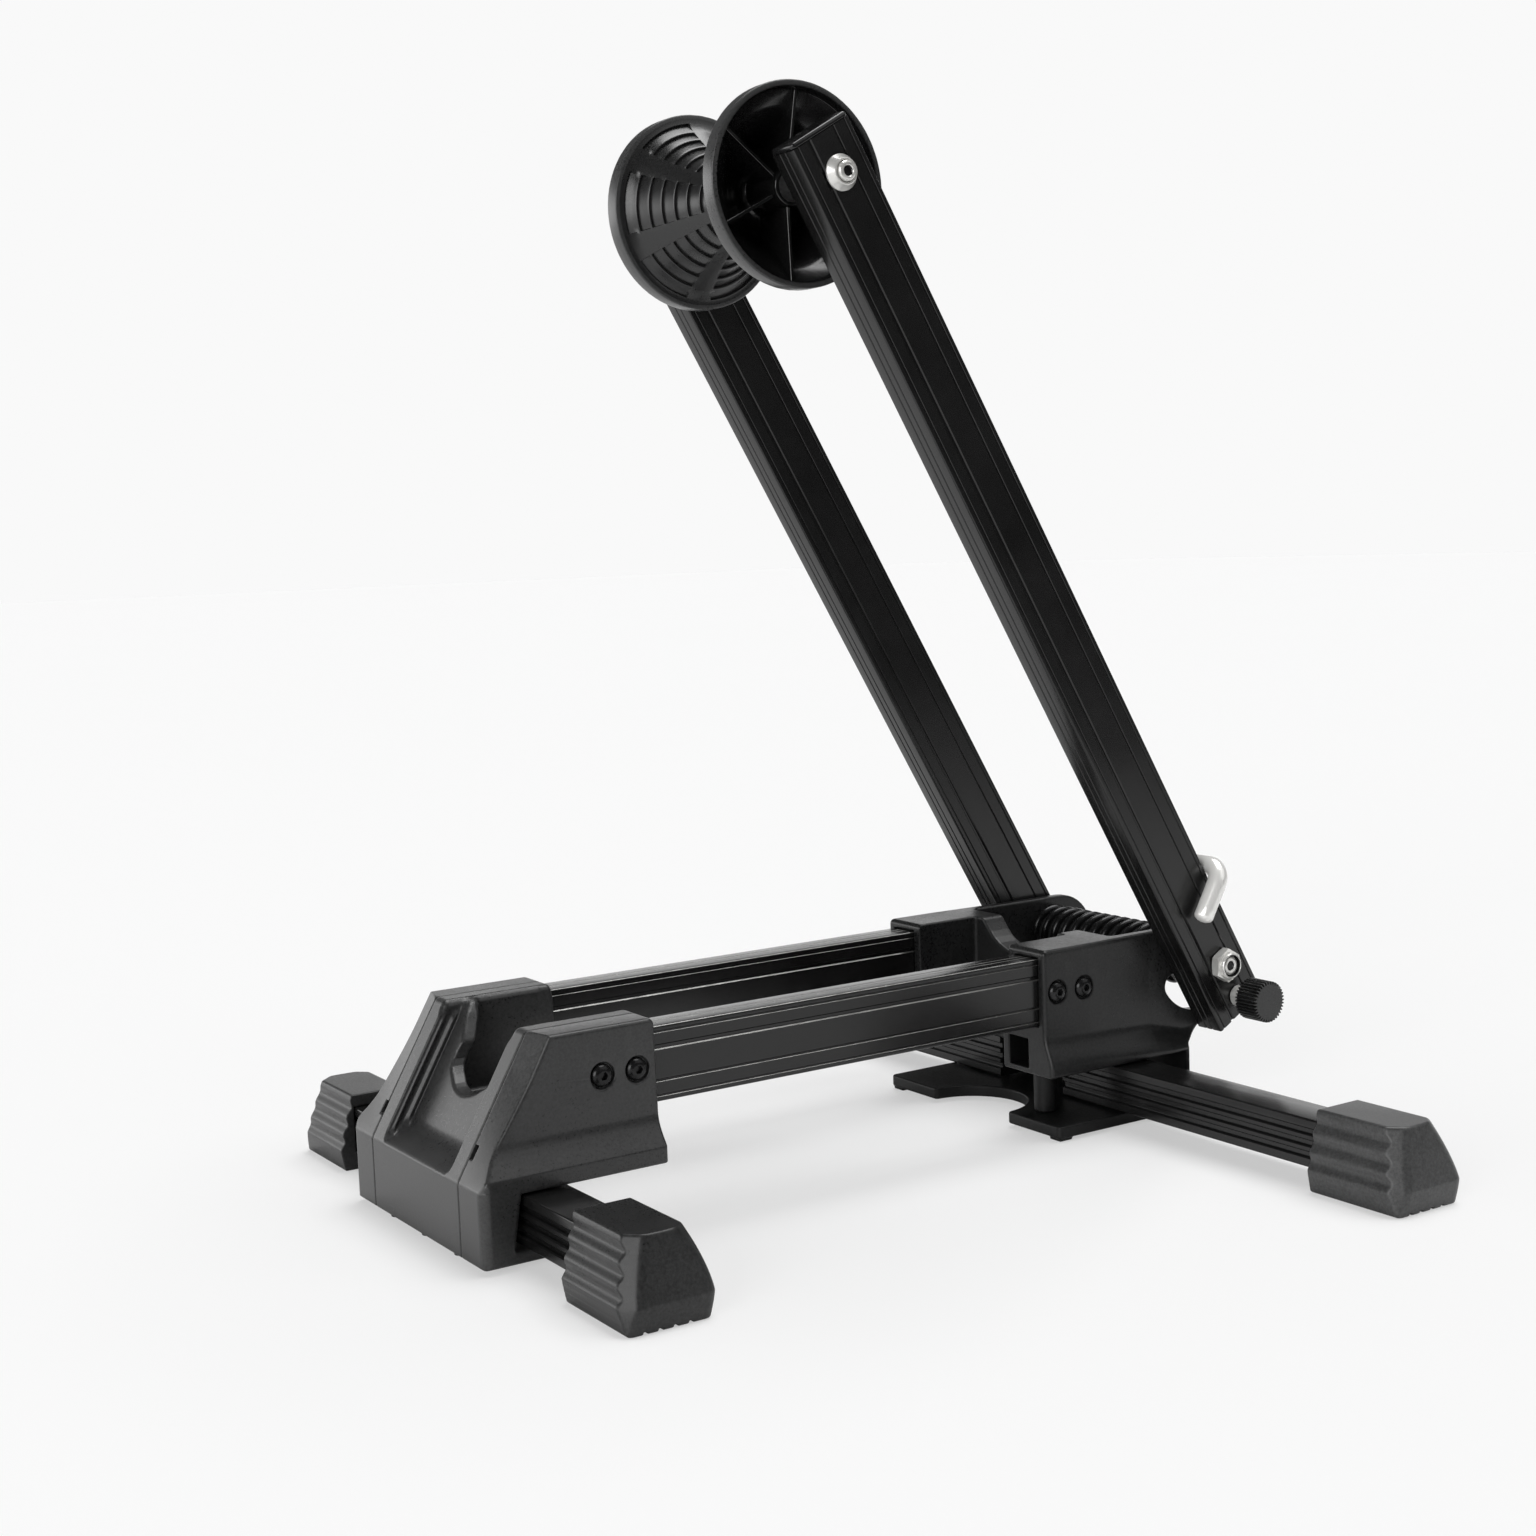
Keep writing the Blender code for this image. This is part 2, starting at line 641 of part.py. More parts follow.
# Front shells: the two sides of the front block
for side, label in ((-1, "left"), (1, "right")):
    section = [
        (SEAM_Y + FIT / 2, FRONT_UNDERSIDE - 0.001),
        (FRONT_SKIRT_Y, FRONT_UNDERSIDE - 0.001),
        (FRONT_SKIRT_Y, FLARE_BOTTOM - 0.002),
        (FRONT_SKIRT_Y - 0.0006, FLARE_BOTTOM + 0.001),
        ((FRONT_SKIRT_Y + TOWER_FOOT_Y) / 2, (FLARE_TOP + FLARE_BOTTOM) / 2),
        (TOWER_FOOT_Y + 0.0006, FLARE_TOP - 0.001),
        (TOWER_FOOT_Y - 0.0001, FLARE_TOP + 0.002),
        (TOWER_TOP_Y, BLOCK_TOP - 0.0020),
        (TOWER_TOP_Y - 0.0006, BLOCK_TOP - 0.0006),
        (TOWER_TOP_Y - 0.0020, BLOCK_TOP + 0.0001),
        (SEAM_Y + FIT / 2, BLOCK_TOP + 0.0001),
    ]
    if side < 0:
        section = [(-u, v) for u, v in reversed(section)]
    shell = prism("front_shell_" + label, [section], "YZ", along(-0.01), along(FRONT_LENGTH + 0.02))
    trim = prism("shell_profile_" + label, [front_outline], "XZ", -CUTTER_REACH, CUTTER_REACH)
    combine(shell, trim, "INTERSECT")
    setback = loft("shell_setback_" + label, [
        shell_front(FLARE_BOTTOM, -0.0008, side),
        shell_front(FLARE_TOP + 0.006, SHELL_SETBACK * 0.45, side),
        shell_front(over, SHELL_SETBACK, side),
    ])
    combine(shell, setback)
    wide = sorted((side * (SEAM_Y - 0.01), side * (RAIL_OUTER_Y + FIT)))
    pocket = box("shell_pocket_" + label, (along(FRONT_LENGTH - RAIL_INSERT - FIT), along(FRONT_LENGTH + 0.02)),
                 wide, (RAIL_MIDDLE_Z - RAIL_HEIGHT / 2 - FIT, RAIL_MIDDLE_Z + RAIL_HEIGHT / 2 + FIT))
    combine(shell, pocket)
    wide = sorted((side * (SEAM_Y - 0.01), side * (SEAM_Y + RAMP_SLOT_WIDTH)))
    ramp_slot = box("shell_ramp_slot_" + label, (along(-0.01), along(ramp_at(RAMP_SLOT_TO) + 0.004)),
                    wide, (RAMP_SLOT_FROM, RAMP_SLOT_TO))
    combine(shell, ramp_slot)
    for k, distance in enumerate(FRONT_SCREWS):
        side_holes(shell, f"shell_screw_{label}_{k}", along(distance), RAIL_MIDDLE_Z, SCREW_RADIUS + FIT,
                   (side * SEAM_Y, side * (FRONT_SKIRT_Y + 0.01)), 12)
        side_holes(shell, f"shell_head_{label}_{k}", along(distance), RAIL_MIDDLE_Z, SCREW_HEAD_RADIUS + 2 * FIT,
                   (side * (FRONT_SCREW_FACE - FIT), side * (FRONT_SKIRT_Y + 0.01)), 16)
    pin_hole = cylinder("shell_pin_" + label, "Z", (along(FRONT_BAR_X), side * FRONT_BAR_PIN_Y, (BAR_PIN_TOP + FIT) / 2),
                        BAR_PIN_RADIUS + FIT, BAR_PIN_TOP + FIT, 12)
    combine(shell, pin_hole)
    finish(shell, BLACK_PLASTIC)

# Rails
rail_from = along(FRONT_LENGTH - RAIL_INSERT)
rail_section = tube_section(RAIL_WIDTH, RAIL_HEIGHT, RAIL_WALL, RAIL_CORNER)
for side, label in ((-1, "left"), (1, "right")):
    loops = shifted(rail_section, (side * RAIL_MIDDLE_Y, RAIL_MIDDLE_Z))
    rail = prism("rail_" + label, loops, "YZ", rail_from, rail_from + RAIL_LENGTH)
    for k, distance in enumerate(FRONT_SCREWS + REAR_SCREWS):
        side_holes(rail, f"rail_screw_{label}_{k}", along(distance), RAIL_MIDDLE_Z, SCREW_RADIUS + FIT,
                   (side * (RAIL_INNER_Y - 0.005), side * (RAIL_OUTER_Y + 0.005)), 12)
    finish(rail, BLACK_METAL)


def rear_section(distance, skirt_y, skirt_top, flare_top, wall_y):
    """Cross-section of the rear block at a distance, over the top from side to side."""
    half = [
        (skirt_y, FLOOR_TOP - 0.002),
        (skirt_y, skirt_top),
        ((skirt_y + wall_y) / 2, (skirt_top + flare_top) / 2),
        (wall_y, flare_top),
        (wall_y - 0.0003, BLOCK_TOP - 0.0028),
        (wall_y - 0.0010, BLOCK_TOP - 0.0008),
        (wall_y - 0.0028, BLOCK_TOP),
    ]
    loop = half + [(-u, v) for u, v in reversed(half)]
    return [(along(distance), u, v) for u, v in loop]


# Rear block: sleeves for the rails, saddle wall, and cheeks for the arm pivot
rear_block = loft("rear_block", [
    rear_section(REAR_FACE, REAR_SKIRT_Y - 0.0008, 0.0335, 0.0440, REAR_SLEEVE_Y),
    rear_section(REAR_FACE + 0.030, REAR_SKIRT_Y, 0.0320, 0.0420, REAR_SLEEVE_Y - 0.0004),
    rear_section(REAR_FACE + 0.063, REAR_SKIRT_Y, 0.0300, 0.0390, CHEEK_OUTER_Y),
    rear_section(REAR_WALL_X, REAR_SKIRT_Y - 0.0004, 0.0288, 0.0322, CHEEK_OUTER_Y),
    rear_section(OVERALL_LENGTH + 0.005, CHEEK_OUTER_Y + 0.0002, 0.0288, 0.0322, CHEEK_OUTER_Y),
])
crown = 0.020
rear_outline = [(along(u), v) for u, v in rounded([
    (REAR_FACE, SKIRT_BOTTOM, 0),
    (REAR_WALL_X - REAR_PLATE_WALL, SKIRT_BOTTOM, 0),
    (REAR_WALL_X - REAR_PLATE_WALL, FLOOR_TOP + FIT, 0),
    (REAR_WALL_X, FLOOR_TOP + FIT, 0),
    (REAR_WALL_X, SKIRT_BOTTOM + 0.0025, 0.002),
    (OVERALL_LENGTH - 0.002, PIVOT_Z - 0.0155, 0.006),
    (OVERALL_LENGTH, PIVOT_Z - 0.008, 0.004),
    (OVERALL_LENGTH, BLOCK_TOP, crown),
    (REAR_FACE, BLOCK_TOP, 0.002),
], 6)]
combine(rear_block, prism("rear_profile", [rear_outline], "XZ", -CUTTER_REACH, CUTTER_REACH), "INTERSECT")
combine(rear_block, box("rear_between_sleeves", (along(REAR_FACE - 0.01), along(REAR_FACE + REAR_SLEEVE_LENGTH - SADDLE_WALL)),
                        (-REAR_INNER_Y, REAR_INNER_Y), (LEG_TOP, over)))
combine(rear_block, box("rear_between_legs", (along(REAR_FACE - 0.01), along(REAR_FACE + REAR_SLEEVE_LENGTH - SADDLE_WALL)),
                        (-LEG_INNER_Y, LEG_INNER_Y), (SKIRT_BOTTOM - 0.01, LEG_TOP + 0.001)))
saddle_half = [
    (REAR_INNER_Y - 0.0055, over),
    (REAR_INNER_Y - 0.0055, BLOCK_TOP),
    (REAR_INNER_Y - 0.0085, BLOCK_TOP - 0.0035),
    (REAR_INNER_Y - 0.0135, BLOCK_TOP - 0.0085),
    (REAR_INNER_Y - 0.0205, SADDLE_BOTTOM + 0.0022),
    (REAR_INNER_Y - 0.0275, SADDLE_BOTTOM + 0.0003),
]
saddle_outline = saddle_half + [(-u, v) for u, v in reversed(saddle_half)]
combine(rear_block, prism("rear_saddle", [saddle_outline], "YZ", along(REAR_FACE + 0.02),
                          along(REAR_FACE + REAR_SLEEVE_LENGTH + 0.01)))
cavity = rounded([
    (REAR_FACE + REAR_SLEEVE_LENGTH, REAR_FLOOR_TOP, 0.002),
    (OVERALL_LENGTH + 0.01, REAR_FLOOR_TOP, 0),
    (OVERALL_LENGTH + 0.01, over, 0),
    (REAR_FACE + REAR_SLEEVE_LENGTH, over, 0),
])
combine(rear_block, prism("rear_cavity", [[(along(u), v) for u, v in cavity]], "XZ", -CHEEK_INNER_Y, CHEEK_INNER_Y))
for side, label in ((-1, "left"), (1, "right")):
    wide = sorted((side * (RAIL_INNER_Y - FIT), side * (RAIL_OUTER_Y + FIT)))
    combine(rear_block, box("rear_pocket_" + label, (along(REAR_FACE - 0.01), along(REAR_FACE + RAIL_INSERT + FIT)),
                            wide, (RAIL_MIDDLE_Z - RAIL_HEIGHT / 2 - FIT, RAIL_MIDDLE_Z + RAIL_HEIGHT / 2 + FIT)))
    socket_y = (LEG_INNER_Y + 0.0042) * side
    wide = sorted((socket_y, socket_y + side * SOCKET_SIZE))
    combine(rear_block, box("rear_socket_" + label, (along(REAR_FACE - 0.01), along(REAR_FACE + SOCKET_DEPTH)),
                            wide, (SKIRT_BOTTOM + 0.0025, SKIRT_BOTTOM + 0.0025 + SOCKET_SIZE)))
    for k, distance in enumerate(REAR_SCREWS):
        side_holes(rear_block, f"rear_drill_{label}_{k}", along(distance), RAIL_MIDDLE_Z, SCREW_RADIUS + FIT,
                   (side * (REAR_SCREW_FACE - SCREW_LENGTH - 2 * FIT), side * (REAR_SLEEVE_Y + 0.01)), 12)
        side_holes(rear_block, f"rear_head_{label}_{k}", along(distance), RAIL_MIDDLE_Z, SCREW_HEAD_RADIUS + 2 * FIT,
                   (side * (REAR_SCREW_FACE - FIT), side * (REAR_SLEEVE_Y + 0.01)), 16)
    pin_hole = cylinder("rear_pin_" + label, "Z", (along(REAR_BAR_X), side * REAR_BAR_PIN_Y, (BAR_PIN_TOP + FIT) / 2),
                        BAR_PIN_RADIUS + FIT, BAR_PIN_TOP + FIT, 12)
    combine(rear_block, pin_hole)
post_height = SKIRT_BOTTOM + 0.001 - FLOOR_TOP - FIT
post = cylinder("rear_post", "Z", (along(REAR_FACE + POST_BEHIND_FACE), -POST_Y, FLOOR_TOP + FIT + post_height / 2),
                POST_RADIUS, post_height, 16)
combine(rear_block, post, "UNION")
pivot_x = along(PIVOT_FROM_FRONT)
side_holes(rear_block, "rear_pivot_bore", pivot_x, PIVOT_Z, PIVOT_BOLT_RADIUS + FIT,
           (-CUTTER_REACH, CUTTER_REACH), 20)
slot_centre = (pivot_x, PIVOT_Z)
slot_half = KNOB_SHANK_RADIUS + SLOT_CLEARANCE
slot_first = KNOB_ANGLE - ARM_SWING - SLOT_SPARE_ANGLE
slot_low = math.radians(slot_first)
slot_high = math.radians(KNOB_ANGLE)
low_end = (slot_centre[0] + KNOB_ORBIT * math.cos(slot_low), slot_centre[1] + KNOB_ORBIT * math.sin(slot_low))
high_end = (slot_centre[0] + KNOB_ORBIT * math.cos(slot_high), slot_centre[1] + KNOB_ORBIT * math.sin(slot_high))
slot_outline = (
    arc(slot_centre, KNOB_ORBIT + slot_half, slot_first, KNOB_ANGLE, 10)
    + arc(high_end, slot_half, KNOB_ANGLE, KNOB_ANGLE + 180, 6)[1:-1]
    + arc(slot_centre, KNOB_ORBIT - slot_half, KNOB_ANGLE, slot_first, 10)
    + arc(low_end, slot_half, slot_first + 180, slot_first + 360, 6)[1:-1]
)
combine(rear_block, prism("rear_curved_slot", [slot_outline], "XZ", -CUTTER_REACH, CUTTER_REACH))
finish(rear_block, BLACK_PLASTIC)

# Base plate with its round notch and four stub feet
plate_front = REAR_FACE + PLATE_AHEAD_OF_FACE + 0.005
plate_rear = REAR_WALL_X + PLATE_BEHIND_WALL
notch_arc = arc((along(plate_front), 0), PLATE_NOTCH_RADIUS, 90, -90, 16)
plate_outline = rounded([
    (along(plate_rear), -PLATE_HALF_WIDTH, 0.003),
    (along(plate_rear), PLATE_HALF_WIDTH, 0.003),
    (along(plate_front), PLATE_HALF_WIDTH, 0.002),
    (along(plate_front), PLATE_NOTCH_RADIUS, 0.002),
] + [(u, v, 0) for u, v in notch_arc[2:-2]] + [
    (along(plate_front), -PLATE_NOTCH_RADIUS, 0.002),
    (along(plate_front), -PLATE_HALF_WIDTH, 0.002),
], 3)
plate = prism("base_plate", [plate_outline], "XY", PLATE_UNDERSIDE, FLOOR_TOP)
for side, label in ((-1, "left"), (1, "right")):
    for end, x in (("front", plate_front + PLATE_STUB / 2 + 0.001), ("rear", plate_rear - PLATE_STUB / 2 - 0.001)):
        y = side * (PLATE_HALF_WIDTH - PLATE_STUB / 2 - 0.001)
        stub = box(f"plate_stub_{end}_{label}", (along(x - PLATE_STUB / 2), along(x + PLATE_STUB / 2)),
                   (y - PLATE_STUB / 2, y + PLATE_STUB / 2), (0, PLATE_UNDERSIDE + 0.001))
        combine(plate, stub, "UNION")
    pin_hole = cylinder("plate_pin_" + label, "Z", (along(REAR_BAR_X), side * REAR_BAR_PIN_Y, FLOOR_TOP),
                        BAR_PIN_RADIUS + FIT, FLOOR_TOP * 3, 12)
    combine(plate, pin_hole)
finish(plate, BLACK_PLASTIC)

# Pins that the half-bars fold on
for end, x, y in (("front", FRONT_BAR_X, FRONT_BAR_PIN_Y), ("rear", REAR_BAR_X, REAR_BAR_PIN_Y)):
    for side, label in ((-1, "left"), (1, "right")):
        middle = (BAR_PIN_TOP + BAR_PIN_BOTTOM) / 2
        pin = cylinder(f"{end}_bar_pin_{label}", "Z", (along(x), side * y, middle), BAR_PIN_RADIUS,
                       BAR_PIN_TOP - BAR_PIN_BOTTOM, 12)
        finish(smooth(pin), BLACK_STEEL)


def bar_section():
    """Square extrusion with three grooves in each side face."""
    grooves = []
    for k in (-1, 0, 1):
        grooves.append((0.5 + k * BAR_GROOVE_PITCH / BAR_SIZE, BAR_GROOVE_WIDTH, BAR_GROOVE_DEPTH))
    outer = extrusion_outline(BAR_SIZE, BAR_SIZE, BAR_CORNER, grooves, [])
    half = BAR_BORE / 2
    return [outer, [(-half, -half), (-half, half), (half, half), (half, -half)]]


def foot_half_width(height):
    """Half width of a foot's upper body at a height."""
    share = (height - FOOT_SOLE_BAND) / (FOOT_HEIGHT - FOOT_SOLE_BAND)
    foot = FOOT_SOLE_WIDTH / 2 - 0.0008
    return foot + (FOOT_TOP_WIDTH / 2 - foot) * share


def foot_ring(x, side, inner_y, outer_y, height, half_width, corner_cut, end_half, inset):
    """Plan outline of a foot at a height, with a large cut at its front outer corner."""
    end_y = outer_y - inset
    rear_cut = min(corner_cut, FOOT_REAR_CORNER_CUT)
    loop = [
        (half_width, inner_y),
        (half_width, end_y - rear_cut),
        (half_width - rear_cut * 0.8, end_y),
        (-end_half, end_y),
        (-half_width, end_y - corner_cut),
        (-half_width, inner_y),
    ]
    return [(along(x) + u, side * v, height) for u, v in loop]


def foot_body(name, x, side, inner_y, outer_y):
    """A foot as a stack of outlines: sole band, three scallops, and a flat top."""
    wide = FOOT_SOLE_WIDTH / 2
    rings = [
        (0, wide - 0.0018, 0.0020, wide - 0.0030, 0.0008),
        (FOOT_SOLE_BAND * 0.4, wide - 0.0003, 0.0022, wide - 0.0018, 0.0001),
        (FOOT_SOLE_BAND, wide, 0.0026, wide - 0.0022, 0.0),
    ]
    slope = FOOT_END_SLOPE / (FOOT_HEIGHT - FOOT_SOLE_BAND)
    pitch = (FOOT_HEIGHT - FOOT_SOLE_BAND - 0.0045) / 3
    for k in range(3):
        for share, depth in ((0.22, 1.0), (0.62, 0.62), (1.0, 0.0)):
            height = FOOT_SOLE_BAND + pitch * (k + share)
            cut = FOOT_CORNER_CUT - FOOT_RIB_DEPTH * depth
            rings.append((height, foot_half_width(height) - FOOT_RIB_DEPTH * depth, cut, FOOT_END_FACE / 2,
                          slope * (height - FOOT_SOLE_BAND) + 0.0004))
    height = FOOT_HEIGHT - 0.0010
    rings.append((height, foot_half_width(height), FOOT_CORNER_CUT, FOOT_END_FACE / 2, FOOT_END_SLOPE))
    rings.append((FOOT_HEIGHT, foot_half_width(FOOT_HEIGHT) - 0.0012, FOOT_CORNER_CUT, FOOT_END_FACE / 2 - 0.001,
                  FOOT_END_SLOPE + 0.0012))
    return loft(name, [foot_ring(x, side, inner_y, outer_y, *ring) for ring in rings])


for end, x, pin_y, reach, tail in (
    ("front", FRONT_BAR_X, FRONT_BAR_PIN_Y, FRONT_BAR_REACH, BAR_SIZE / 2),
    ("rear", REAR_BAR_X, REAR_BAR_PIN_Y, REAR_BAR_REACH, REAR_BAR_TAIL),
):
    for side, label in ((-1, "left"), (1, "right")):
        hinge = pivot_empty(f"{end}_bar_hinge_{label}", (along(x), side * pin_y, 0))
        loops = shifted(bar_section(), (along(x), BAR_UNDERSIDE + BAR_SIZE / 2))
        low, high = sorted((side * (pin_y - tail), side * (pin_y + reach)))
        bar = prism(f"{end}_bar_{label}", loops, "XZ", low, high)
        drill = cylinder(f"{end}_bar_hole_{label}", "Z", (along(x), side * pin_y, BAR_UNDERSIDE + BAR_SIZE / 2),
                         BAR_PIN_RADIUS + FIT, BAR_SIZE * 2, 12)
        combine(bar, drill)
        if tail <= BAR_SIZE / 2:
            half_disc = arc((along(x), 0), BAR_SIZE / 2, 180, 0, 8)
            edge = BAR_SIZE / 2 + 0.01
            corner_cut = half_disc + [(along(x) + edge, 0), (along(x) + edge, edge), (along(x) - edge, edge),
                                      (along(x) - edge, 0)]
            if side < 0:
                outline = [(u, -pin_y + v) for u, v in corner_cut]
            else:
                outline = [(u, pin_y - v) for u, v in corner_cut]
            combine(bar, prism(f"{end}_bar_round_{label}", [outline], "XY", 0, BAR_TOP + 0.01))
        finish(bar, BLACK_METAL)
        hang(bar, hinge)

        outer_y = pin_y + reach + FOOT_END_WALL
        inner_y = outer_y - FOOT_LENGTH
        foot = foot_body(f"{end}_foot_{label}", x, side, inner_y, outer_y)
        inset = BAR_SIZE / 2 + FIT
        low, high = sorted((side * (inner_y - 0.01), side * (pin_y + reach + FIT)))
        combine(foot, box(f"{end}_foot_socket_{label}", (along(x) - inset, along(x) + inset), (low, high),
                          (BAR_UNDERSIDE - FIT, BAR_TOP + FIT)))
        for k in range(4):
            middle = along(x) + (k - 1.5) * FOOT_TREAD_WIDTH * 1.75
            low, high = sorted((side * (outer_y - 0.008), side * (outer_y + 0.01)))
            combine(foot, box(f"{end}_foot_tread_{label}_{k}",
                              (middle - FOOT_TREAD_WIDTH / 2, middle + FOOT_TREAD_WIDTH / 2), (low, high),
                              (-0.01, FOOT_TREAD_DEPTH)))
        finish(foot, RUBBER)
        hang(foot, hinge)

# Arms: built upright on the pivot, then leaned forward
lean = Matrix.Translation((pivot_x, 0, PIVOT_Z)) @ Matrix.Rotation(math.radians(90 - ARM_ANGLE), 4, "Y")
arm_hinge = pivot_empty("arm_hinge", (pivot_x, 0, PIVOT_Z))
arm_low = -ARM_BELOW_PIVOT
arm_high = ARM_TOP - CAP_PLATE - FIT
knob_turn = math.radians(KNOB_ANGLE)
knob_world = Vector((pivot_x + KNOB_ORBIT * math.cos(knob_turn), 0, PIVOT_Z + KNOB_ORBIT * math.sin(knob_turn)))
knob_local = lean.inverted() @ knob_world


def on_arm(obj, look):
    """Lean an upright piece to the arms' angle, give it its look and hang it on the hinge."""
    obj.matrix_world = lean @ obj.matrix_world
    finish(obj, look)
    return hang(obj, arm_hinge)


def arm_section(side):
    """Arm tube section in plan: depth along X, grooves counted from the front edge."""
    loops = tube_section(ARM_WIDTH, ARM_DEPTH, ARM_WALL, ARM_CORNER)
    plan = [[(-ARM_OFFSET - v, side * ARM_MIDDLE_Y + u) for u, v in loop] for loop in loops]
    return plan


for side, label in ((-1, "left"), (1, "right")):
    arm = prism("arm_" + label, arm_section(side), "XY", arm_low, arm_high)
    across = (side * (ARM_INNER_Y - 0.005), side * (ARM_OUTER_Y + 0.005))
    drills = [
        (f"arm_pivot_{label}", 0.0, 0.0, PIVOT_BOLT_RADIUS + FIT),
        (f"arm_axle_{label}", -ARM_OFFSET, ARM_AXLE_REACH, AXLE_RADIUS + FIT),
    ]
    if side < 0:
        drills.append(("arm_knob_left", knob_local.x, knob_local.z, KNOB_SHANK_RADIUS + FIT))
    tools = []
    for name, u, w, radius in drills:
        drill = cylinder(name, "Y", (u, (across[0] + across[1]) / 2, w), radius, abs(across[1] - across[0]), 16)
        combine(arm, drill)
        tools.append(drill)
    on_arm(arm, BLACK_METAL)
    for tool in tools:
        tool.matrix_world = lean @ tool.matrix_world

# End caps, a plate and a plug in the top of each arm
for side, label in ((-1, "left"), (1, "right")):
    outline = rounded([
        (-ARM_OFFSET - ARM_DEPTH / 2, side * ARM_MIDDLE_Y - ARM_WIDTH / 2, ARM_CORNER),
        (-ARM_OFFSET + ARM_DEPTH / 2, side * ARM_MIDDLE_Y - ARM_WIDTH / 2, ARM_CORNER),
        (-ARM_OFFSET + ARM_DEPTH / 2, side * ARM_MIDDLE_Y + ARM_WIDTH / 2, ARM_CORNER),
        (-ARM_OFFSET - ARM_DEPTH / 2, side * ARM_MIDDLE_Y + ARM_WIDTH / 2, ARM_CORNER),
    ], 3)
    cap = prism("arm_cap_" + label, [outline], "XY", ARM_TOP - CAP_PLATE, ARM_TOP)
    u = ARM_DEPTH / 2 - ARM_WALL - FIT
    v = ARM_WIDTH / 2 - ARM_WALL - FIT
    plug = box("arm_cap_plug_" + label, (-ARM_OFFSET - u, -ARM_OFFSET + u),
               (side * ARM_MIDDLE_Y - v, side * ARM_MIDDLE_Y + v),
               (ARM_TOP - CAP_PLATE - CAP_PLUG, ARM_TOP - CAP_PLATE * 0.4))
    combine(cap, plug, "UNION")
    on_arm(cap, BLACK_PLASTIC)
    plug.matrix_world = lean @ plug.matrix_world


# Hexagon nuts with a collar on the pivot bolt, round nuts on the roller's axle, and spacers
# that keep the roller midway between the arms
hexagon = circle(PIVOT_NUT_ACROSS / math.sqrt(3), 6)
pivot_bore = circle(PIVOT_BOLT_RADIUS + FIT, 16)
axle_bore = circle(AXLE_RADIUS + FIT, 16)
spacer_from = ROLLER_HALF_LENGTH - ROLLER_HUB_RECESS + FIT
for side, label in ((-1, "left"), (1, "right")):
    face = ARM_OUTER_Y + FIT
    low, high = sorted((side * face, side * (face + PIVOT_NUT_HEIGHT)))
    nut = prism("pivot_nut_" + label, [hexagon, pivot_bore], "XZ", low, high)
    low, high = sorted((side * (face + PIVOT_NUT_HEIGHT * 0.8), side * (face + PIVOT_NUT_HEIGHT + PIVOT_COLLAR_HEIGHT)))
    collar = prism("pivot_nut_collar_" + label, [circle(PIVOT_COLLAR_RADIUS, 16), pivot_bore], "XZ", low, high)
    combine(nut, collar, "UNION")
    on_arm(nut, ZINC)
    collar.matrix_world = lean @ collar.matrix_world
    low, high = sorted((side * face, side * (face + AXLE_NUT_HEIGHT)))
    loops = shifted([circle(AXLE_NUT_RADIUS, 20), axle_bore], (-ARM_OFFSET, ARM_AXLE_REACH))
    on_arm(smooth(prism("axle_nut_" + label, loops, "XZ", low, high)), ZINC)
    low, high = sorted((side * spacer_from, side * (ARM_INNER_Y - FIT)))
    loops = shifted([circle(SPACER_RADIUS, 16), axle_bore], (-ARM_OFFSET, ARM_AXLE_REACH))
    on_arm(smooth(prism("axle_spacer_" + label, loops, "XZ", low, high)), BLACK_PLASTIC)
bolt_half = ARM_OUTER_Y + FIT + PIVOT_NUT_HEIGHT + PIVOT_COLLAR_HEIGHT * 0.5
on_arm(smooth(cylinder("pivot_bolt", "Y", (0, 0, 0), PIVOT_BOLT_RADIUS, 2 * bolt_half, 16)), ZINC)
axle_half = ARM_OUTER_Y + FIT + AXLE_NUT_HEIGHT + 0.0015
on_arm(smooth(cylinder("roller_axle", "Y", (-ARM_OFFSET, 0, ARM_AXLE_REACH), AXLE_RADIUS, 2 * axle_half, 16)), ZINC)

# Bent rod: a short leg beside the left arm and a longer one across its rear face
rod_u = -ARM_OFFSET + ARM_DEPTH / 2 + FIT + ROD_RADIUS
rod_y = -(ARM_OUTER_Y - ROD_BEND_INSET + ROD_BEND)
corner = Vector((rod_u, rod_y, ROD_HEIGHT_ON_ARM))
leg = Vector((-math.cos(math.radians(ROD_LEG_ANGLE)), 0, -math.sin(math.radians(ROD_LEG_ANGLE))))
inner_end = corner + Vector((0, ROD_INNER_LENGTH, 0))
route = [inner_end, corner + Vector((0, ROD_BEND, 0))]
for k in range(1, 6):
    turn = k / 6 * math.pi / 2
    centre = corner + Vector((0, ROD_BEND, 0)) + leg * ROD_BEND
    route.append(centre - leg * ROD_BEND * math.cos(turn) - Vector((0, ROD_BEND, 0)) * math.sin(turn))
route.append(corner + leg * ROD_BEND)
route.append(corner + leg * ROD_LEG)
wire = bpy.data.curves.new("bent_rod", "CURVE")
wire.dimensions = "3D"
wire.bevel_depth = ROD_RADIUS
wire.bevel_resolution = 4
wire.use_fill_caps = True
spline = wire.splines.new("POLY")
spline.points.add(len(route) - 1)
for point, place_at in zip(spline.points, route):
    point.co = (*place_at, 1)
rod_curve = bpy.data.objects.new("bent_rod", wire)
parts.objects.link(rod_curve)
rod = settle(rod_curve)
on_arm(smooth(rod), ZINC)

